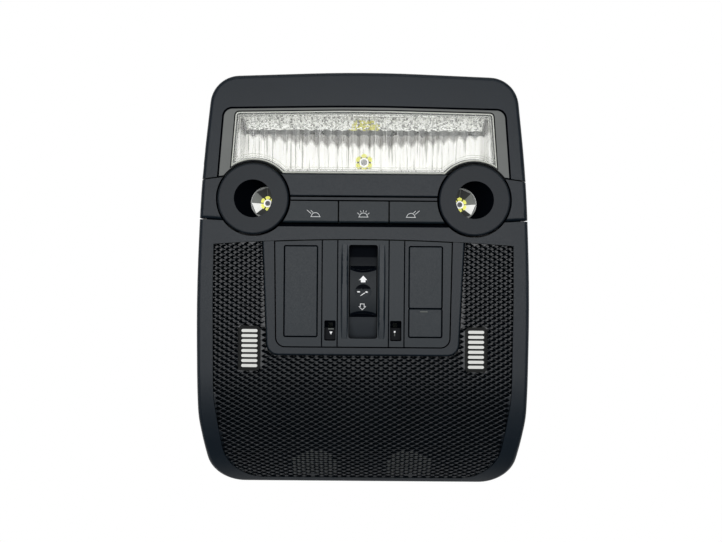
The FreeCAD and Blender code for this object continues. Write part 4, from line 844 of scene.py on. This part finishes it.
def dress_dome_lamp():
    """Reflector wall and film; on the lens, painted highlights on edge, rim lines and flutes, painted shade
    in its joint.
    """
    wall_y = low("dome_reflector", 1) + FLUTE_FLOOR_H

    def on_edge(place, normal):
        return EDGE_LEAN[0] < normal.z < EDGE_LEAN[1] and place.z > LENS_TOP - EDGE_DEPTH

    paint_faces("dome_reflector", wall_grey, lambda p, n: n.y < WALL_LEAN and p.y > wall_y)
    paint_faces("dome_lens", lens_edge_highlight, on_edge)
    make_foil()
    rim = flat_loops("dome_lens", LENS_TOP)[0]
    heights = LENS_TOP - BEAD_FOOT, LENS_TOP + RIM_RISE
    for number, (near, far) in enumerate(RIM_LINES):
        add_bead(f"lens_rim_highlight_{number}", rim, near, far, *heights, lens_edge_highlight, "lens")
    # Painted shade: a black bead in the joint round the lens
    joint = flat_loops("lens_frame", FRAME_TOP)[0]
    heights = FRAME_TOP - BEAD_FOOT, FRAME_TOP + LENS_JOINT_RISE
    add_bead("lens_joint_shade", joint, 0.0, LENS_JOINT_W, *heights, painted_shade_black, "lens_frame")
    places = [i * FLUTE_PITCH for i in range(-FLUTE_LINES, FLUTE_LINES + 1) if i]
    lines = [bar((x, FLUTE_LINE_FROM), (x, FLUTE_LINE_TO), FLUTE_LINE_W) for x in places]
    add_plates("lens_flute_highlights", lines, lambda x, y: LENS_TOP, highlight_line_white, "console")


# Marks

ICON_LINE = 0.36
ICON_UP = 3.6              # base of the key marks above the keys' lower edge
ICON_PLACES = {"left_key": -30.4, "dome_key": -0.2, "right_key": 29.7}
DOME_ARC = {"half_w": 2.75, "height": 2.6, "line": ICON_LINE, "base": 0.3}
DOME_FOOT_HALF = 3.1
DOME_FOOT = bar((-DOME_FOOT_HALF, ICON_LINE / 2), (DOME_FOOT_HALF, ICON_LINE / 2), ICON_LINE)
SIDE_RAYS = ((-5.4, 4.35), (-2.7, 2.1)), ((-2.95, 4.2), (-1.5, 2.8))
ROUND_RAYS = ((-3.75, 2.8), (-2.6, 1.85)), ((-1.9, 4.1), (-1.45, 3.1)), ((0.0, 4.5), (0.0, 3.4))


def make_key_marks():
    """Lamp marks: light to one side on the outer keys, all round on the middle one."""
    base = low("dome_key", 1) + ICON_UP
    dome = half_ring(**DOME_ARC) + [DOME_FOOT]
    beam = dome + [bar(start, end, ICON_LINE) for start, end in SIDE_RAYS]
    rays = [bar(start, end, ICON_LINE) for start, end in ROUND_RAYS]
    all_round = dome + rays + moved(rays[:2], 0, 0, -1)
    shapes = {"left_key": beam, "dome_key": all_round, "right_key": moved(beam, 0, 0, -1)}
    for key, x in ICON_PLACES.items():
        add_plates("mark_" + key, moved(shapes[key], x, base), level_of(key), icon_white, key)


ARROW_UP = [(0.0, 10.15), (-2.5, 7.4), (-1.45, 7.4), (-1.45, 6.0), (1.45, 6.0), (1.45, 7.4), (2.5, 7.4)]
ARROW_DOWN = [
    (-0.5, -11.6), (1.95, -9.2), (0.85, -9.2), (0.85, -7.5), (-1.85, -7.5), (-1.85, -9.2), (-2.95, -9.2),
]
TILT_LINE = (-1.5, -2.4), (1.1, -0.7)
TILT_LINE_W = 0.42
TILT_DASHES = ((-2.85, -0.05, 1.0, 0.42), (2.15, -0.15, 0.9, 0.42))   # middles and half sizes
ARROW_LINE = 0.34
END_IN = 12.1              # painted shade at the scooped ends of the knob: inner and outer curve, and rise at the sides
END_IN_RISE = 1.7
END_OUT = 13.5
END_OUT_RISE = 2.4
END_HALF = 8.2
END_STEPS = 12
END_PROUD = 0.02


def knob_end():
    """Outline of the painted shade at the knob's upper end, about the knob's middle."""
    xs = [END_HALF * (2 * i / END_STEPS - 1) for i in range(END_STEPS + 1)]
    inner = [(x, END_IN + END_IN_RISE * (x / END_HALF) ** 2) for x in xs]
    outer = [(x, END_OUT + END_OUT_RISE * (x / END_HALF) ** 2) for x in xs]
    return inner + outer[::-1]


def make_slider_marks():
    """Filled and open arrow and the tilt sign on the knob, and painted shade at its ends."""
    level = level_of("slider_knob")
    shapes = [ARROW_UP, bar(*TILT_LINE, TILT_LINE_W)] + closed_line(ARROW_DOWN, ARROW_LINE)
    shapes += [ellipse(*dash) for dash in TILT_DASHES]
    add_plates("mark_slider", moved(shapes, *knob_place[:2]), level, mark_white, "slider_knob")
    upper = knob_end()
    lower = [(-x, -y) for x, y in upper]
    ends = moved([upper, lower], *knob_place[:2])
    add_plates("knob_end_shades", ends, level, painted_shade_black, "slider_knob", END_PROUD)


LOCK_BAR_DOWN = 5.7        # marks on the locks, down from the top of their pockets
LOCK_POINT_DOWN = 7.4
LOCK_TIP_DOWN = 9.3
LOCK_DOT_DOWN = 7.3
LOCK_STEM_DOWN = 10.0
LOCK_MARK_SHIFT = 0.45     # towards the middle
LOCK_BAR_HALF = 1.75
LOCK_BAR_W = 0.7
LOCK_POINT_HALF = 0.95
LOCK_DOT_R = 0.6
LOCK_STEM_GAP = 0.7        # top of the stem, below the middle of the dot
LOCK_STEM_W = 0.5
DASH_ENDS = (36.1, 40.8)   # dash on the indicator window
DASH_UP = 28.0             # above the lower end of the surround
DASH_W = 0.6


def make_lock_marks():
    """Bar and point on the left lock, dot and stem on the right one, and a dash on the window."""
    left = centre("lock_left")[0] + LOCK_MARK_SHIFT
    right = centre("lock_right")[0] - LOCK_MARK_SHIFT
    bar_y = Y_LOCK_TOP - LOCK_BAR_DOWN
    point_y = Y_LOCK_TOP - LOCK_POINT_DOWN
    tip_y = Y_LOCK_TOP - LOCK_TIP_DOWN
    dot_y = Y_LOCK_TOP - LOCK_DOT_DOWN
    stem_y = Y_LOCK_TOP - LOCK_STEM_DOWN
    line = bar((left - LOCK_BAR_HALF, bar_y), (left + LOCK_BAR_HALF, bar_y), LOCK_BAR_W)
    point = [(left - LOCK_POINT_HALF, point_y), (left, tip_y), (left + LOCK_POINT_HALF, point_y)]
    dot = ellipse(right, dot_y, LOCK_DOT_R, LOCK_DOT_R)
    stem = bar((right, stem_y), (right, dot_y - LOCK_STEM_GAP), LOCK_STEM_W)
    for side, grey, white in (("left", line, point), ("right", stem, dot)):
        body = "lock_" + side
        level = level_of(body)
        add_plates("mark_grey_" + body, [grey], level, mark_grey, body)
        add_plates("mark_white_" + body, [white], level, mark_white, body)
    dash_y = Y_SURROUND_LOW + DASH_UP
    dash = bar((DASH_ENDS[0], dash_y), (DASH_ENDS[1], dash_y), DASH_W)
    add_plates("window_dash", [dash], level_of("indicator_window"), mark_grey, "console")


# Grille net

NET_TOP = 0.1              # crest of the ribs below the face
NET_EDGE = 0.13            # rim and mouth of a pit, below the face
NET_SHOULDER = 0.35
NET_FLOOR = 1.9            # where the ribs stand on the plate
PIT_EDGE = 0.92            # size of a pit, as a share of its cell, at the rounded rim, mouth and floor
PIT_TOP = 0.87
PIT_LOW = 0.62
PIT_CORNER = 0.24          # share of each side that the rounded corners take
LEAN = 1.05                # pit floors are set this far towards the middle of the console
LEAN_FULL = 75.0           # in full from this distance, and less nearer the middle
LEAN_X = -1.45             # that middle, across and down from the start of the bend
LEAN_DOWN = -66.0
NET_HALF = 110.0
NET_ROWS = range(-60, 48)
BORDER_STEPS = 7           # halvings that find where a rib meets a border
CORNER_TEST = 0.98         # corners of a cell are felt for just inside it
GRILLE_OPEN = ["grille_panel", "microphone_fleece_left", "microphone_fleece_right"]
GRILLE_BORDERS = ["lower_frame", "centre_bar", "switch_surround", "slot_grille_left", "slot_grille_right"]


def bend_place(down, depth):
    """Point (y, z) this far down the grille's face from the start of its bend, and this far below it."""
    if down < 0:
        return Y_BEND - down, FACE_Z - depth
    y = Y_BEND
    z = FACE_Z - BEND_R
    radius = BEND_R
    turn = down / BEND_R
    if down >= BEND_R * BEND_ANGLE:
        y -= (BEND_R - ROLL_R) * math.sin(BEND_ANGLE)
        z += (BEND_R - ROLL_R) * math.cos(BEND_ANGLE)
        radius = ROLL_R
        turn = BEND_ANGLE + (down - BEND_R * BEND_ANGLE) / ROLL_R
    return y - (radius - depth) * math.sin(turn), z + (radius - depth) * math.cos(turn)


def surface_finder(open_nodes, solid_nodes):
    """Returns a test of whether (x, y), seen straight from the front, shows one of the open nodes."""
    tree, owners = mesh_tree(open_nodes + solid_nodes)

    def shows(x, y):
        hit = tree.ray_cast(Vector((x * MM, y * MM, ABOVE)), DOWN)
        return hit[2] is not None and owners[hit[2]] in open_nodes

    return shows


CELL_CORNERS = [(CELL_W / 2, 0.0), (0.0, CELL_H / 2), (-CELL_W / 2, 0.0), (0.0, -CELL_H / 2)]
CORNERS = len(CELL_CORNERS)
RING_POINTS = 2 * CORNERS


def pit_ring(share):
    """Rhombus of eight points round a cell's middle, with its four corners cut."""
    corners = [(x * share, y * share) for x, y in CELL_CORNERS]
    ring = []
    for i, here in enumerate(corners):
        for other in (corners[i - 1], corners[(i + 1) % CORNERS]):
            ring.append(tuple(a + (b - a) * PIT_CORNER for a, b in zip(here, other)))
    return ring


def pit_lean(x, down):
    """How far a pit's floor is set towards the middle of the console, so that its outer walls slope."""
    across, along = LEAN_X - x, LEAN_DOWN - down
    away = math.hypot(across, along)
    reach = LEAN * min(1.0, away / LEAN_FULL)
    return reach * across / away, reach * along / away


RIB_FOOT = 0.2             # sides of the main ribs start this far above the plate
LINE_STEP = 0.5            # between the points along the face, over the whole length of the grille
FACE_LINE = [bend_place(LINE_STEP * step, 0.0) for step in range(-240, 180)]


def darken_main_ribs():
    """Painted shade: black on the main ribs of the solid grille, which stand inside the finer net."""
    def on_rib(place, normal):
        depth = min(math.hypot(place.y - y, place.z - z) for y, z in FACE_LINE)
        return depth < NET_FLOOR - RIB_FOOT

    paint_faces("grille_panel", pit_shade_black, on_rib)


FIELD_X = 30.6             # middles of the microphone fields, across and down from the start of the bend
FIELD_DOWN = 66.0
FIELD_R = 15.6
FLEECE_SHARE = 0.5         # size of the fleece seen in a pit, as a share of the cell
FLEECE_DEPTH = 0.8
FLEECE_CROWN = 0.2


def make_fleece_dots(cells):
    """Fleece before the microphones in painted shade, as it shows at the foot of the pits."""
    points, faces = [], []
    for cx, down in cells:
        start = len(points)
        y, z = bend_place(down, FLEECE_DEPTH - FLEECE_CROWN)
        points.append((cx, y, z))
        ring = pit_ring(FLEECE_SHARE)
        for dx, ddown in ring:
            y, z = bend_place(down + ddown, FLEECE_DEPTH)
            points.append((cx + dx, y, z))
        faces += [[start, start + 1 + (i + 1) % len(ring), start + 1 + i] for i in range(len(ring))]
    add_piece("fleece_dots", points, faces, [fleece_shaded], "console", smooth=True)


def make_grille_net(shows):
    """Net of ribs round diamond pits over the whole grille, with painted shade on the pit walls."""
    points, faces, picks, fleece_cells = [], [], [], []
    rings = [
        (pit_ring(PIT_EDGE), NET_EDGE, 0.0),
        (pit_ring(PIT_TOP), NET_SHOULDER, 0.0),
        (pit_ring(PIT_LOW), NET_FLOOR, 1.0),
    ]

    def on_grille(x, down):
        return shows(x, bend_place(down, 0)[0])

    def place(cx, cdown, dx, ddown, depth, anchor):
        """Point of a cell, drawn back towards its anchor where the grille ends."""
        def drawn(share):
            x = cx + anchor[0] + (dx - anchor[0]) * share
            return x, cdown + anchor[1] + (ddown - anchor[1]) * share

        reach = 1.0
        if not on_grille(cx + dx, cdown + ddown):
            reach, outside = 0.0, 1.0
            for _ in range(BORDER_STEPS):
                middle = (reach + outside) / 2
                if on_grille(*drawn(middle)):
                    reach = middle
                else:
                    outside = middle
        x, down = drawn(reach)
        return x, *bend_place(down, depth)

    def add_cell(cx, down):
        visible = [c for c in CELL_CORNERS if on_grille(cx + c[0] * CORNER_TEST, down + c[1] * CORNER_TEST)]
        middle = on_grille(cx, down)
        if not visible and not middle:
            return
        anchor = (0.0, 0.0) if middle else visible[0]
        start = len(points)
        points.extend(place(cx, down, *c, NET_TOP, anchor) for c in CELL_CORNERS)
        if not middle:
            faces.append([start + i for i in range(CORNERS)])
            picks.append(0)
            return
        if len(visible) == CORNERS and math.hypot(abs(cx) - FIELD_X, down - FIELD_DOWN) < FIELD_R:
            fleece_cells.append((cx, down))
        lean_x, lean_down = pit_lean(cx, down)
        for ring, depth, share in rings:
            shifted = [(x + share * lean_x, y + share * lean_down) for x, y in ring]
            points.extend(place(cx, down, *c, depth, anchor) for c in shifted)
        first = start + CORNERS
        for i in range(CORNERS):
            a, b = first + 2 * i, first + 2 * i + 1
            after = first + (2 * i + 2) % RING_POINTS
            faces.append([start + i, b, a])
            faces.append([start + i, start + (i + 1) % CORNERS, after, b])
            picks.extend([0, 0])
        for level in range(len(rings) - 1):
            upper = first + RING_POINTS * level
            faces.extend(band(upper, upper + RING_POINTS, RING_POINTS))
            picks.extend([level] * RING_POINTS)

    columns = int(NET_HALF / CELL_W)
    for row in NET_ROWS:
        for column in range(-columns, columns + 1):
            add_cell((column + 0.5 * (row % 2)) * CELL_W, row * CELL_H / 2)
    make_fleece_dots(fleece_cells)
    # Painted shade: black on the pit walls
    materials = [grille_plastic, pit_shade_black]
    add_piece("grille_net", points, faces, materials, "console", smooth=True, picks=picks)


# Stage, light and camera

FLOOR_HALF = 3.0           # floor and lamps are in metres
FLOOR_TINTS = (0.80, 0.80, 0.80), (0.84, 0.84, 0.84)
FLOOR_SCALE = 3.0
FLOOR_ROUGHNESS = 0.9
WORLD_LIGHT = 0.035
LAMP_AIM = (0.0, 0.0, 0.05)
LAMPS = {                  # place, size and watts
    "key_lamp": ((0.0, 0.1, 1.3), (1.6, 0.9), 16.0),
    "back_lamp": ((0.0, 1.2, 0.85), (0.9, 0.4), 2.5),
    "side_lamp": ((-0.9, -0.2, 0.6), (0.3, 0.5), 0.5),
}


def make_floor():
    """White ground: plain white where it is seen or mirrored, a pale matt surface for all other light."""
    corners = [(-1, -1), (1, -1), (1, 1), (-1, 1)]
    mesh = bpy.data.meshes.new("floor")
    mesh.from_pydata([(x * FLOOR_HALF, y * FLOOR_HALF, 0) for x, y in corners], [], [(0, 1, 2, 3)])
    floor = bpy.data.objects.new("floor", mesh)
    bpy.context.scene.collection.objects.link(floor)
    material, tree, shader = new_material("floor_white")
    tree.links.new(tinted(tree, noise(tree, FLOOR_SCALE), *FLOOR_TINTS), shader.inputs["Base Color"])
    shader.inputs["Roughness"].default_value = FLOOR_ROUGHNESS
    shader.inputs["Specular IOR Level"].default_value = 0.0
    path = tree.nodes.new("ShaderNodeLightPath")
    seen = path.outputs["Is Camera Ray"]
    for ray in ("Is Glossy Ray", "Is Transmission Ray"):
        seen = combine(tree, "MAXIMUM", seen, path.outputs[ray])
    glow = tree.nodes.new("ShaderNodeEmission")
    glow.inputs["Color"].default_value = (*WHITE, 1.0)
    mix = tree.nodes.new("ShaderNodeMixShader")
    tree.links.new(seen, mix.inputs["Fac"])
    tree.links.new(shader.outputs["BSDF"], mix.inputs[1])
    tree.links.new(glow.outputs["Emission"], mix.inputs[2])
    tree.links.new(mix.outputs["Shader"], tree.nodes["Material Output"].inputs["Surface"])
    mesh.materials.append(material)


def add_lamp(name, place, size, watts):
    """Area lamp that points at the console."""
    light = bpy.data.lights.new(name, "AREA")
    light.shape = "RECTANGLE"
    light.size, light.size_y = size
    light.energy = watts
    lamp = bpy.data.objects.new(name, light)
    lamp.location = place
    lamp.rotation_euler = (Vector(LAMP_AIM) - Vector(place)).to_track_quat("-Z", "Y").to_euler()
    bpy.context.scene.collection.objects.link(lamp)


def make_light():
    world = bpy.data.worlds.new("studio")
    bpy.context.scene.world = world
    world.use_nodes = True
    background = world.node_tree.nodes["Background"]
    background.inputs["Color"].default_value = (*WHITE, 1.0)
    background.inputs["Strength"].default_value = WORLD_LIGHT
    for name, (place, size, watts) in LAMPS.items():
        add_lamp(name, place, size, watts)


def make_camera():
    data = bpy.data.cameras.new("camera")
    data.sensor_fit = "HORIZONTAL"
    data.sensor_width = SENSOR
    data.lens = SENSOR * CAMERA_UP / (IMAGE_W * MM_PER_PIXEL)
    camera = bpy.data.objects.new("camera", data)
    camera.location = (CAMERA_X * MM, (Y_TOP - CAMERA_DOWN) * MM, (FACE_Z + CAMERA_UP) * MM)
    camera.rotation_euler = (0.0, 0.0, math.radians(CAMERA_TURN))
    bpy.context.scene.collection.objects.link(camera)
    bpy.context.scene.camera = camera


bpy.context.scene.view_settings.view_transform = "Standard"
dress_nodes()
darken_joints()
dress_slider()
make_joint_shades()
reading_tones = [led_dark, led_grey, star_white, star_yellow]
dome_tones = [led_eye, led_grey, led_white, led_yellow]
for side in SIDES:
    dress_cup(side)
    make_cup_ribs(side)
    make_star("lamp_star_" + side, led_places[side], reading_tones, **READING_STAR)
make_star("lamp_star_dome", dome_led_place, dome_tones, **DOME_STAR)
dress_dome_lamp()
make_key_marks()
make_slider_marks()
make_lock_marks()
darken_main_ribs()
make_grille_net(surface_finder(GRILLE_OPEN, GRILLE_BORDERS))
make_floor()
make_light()
make_camera()
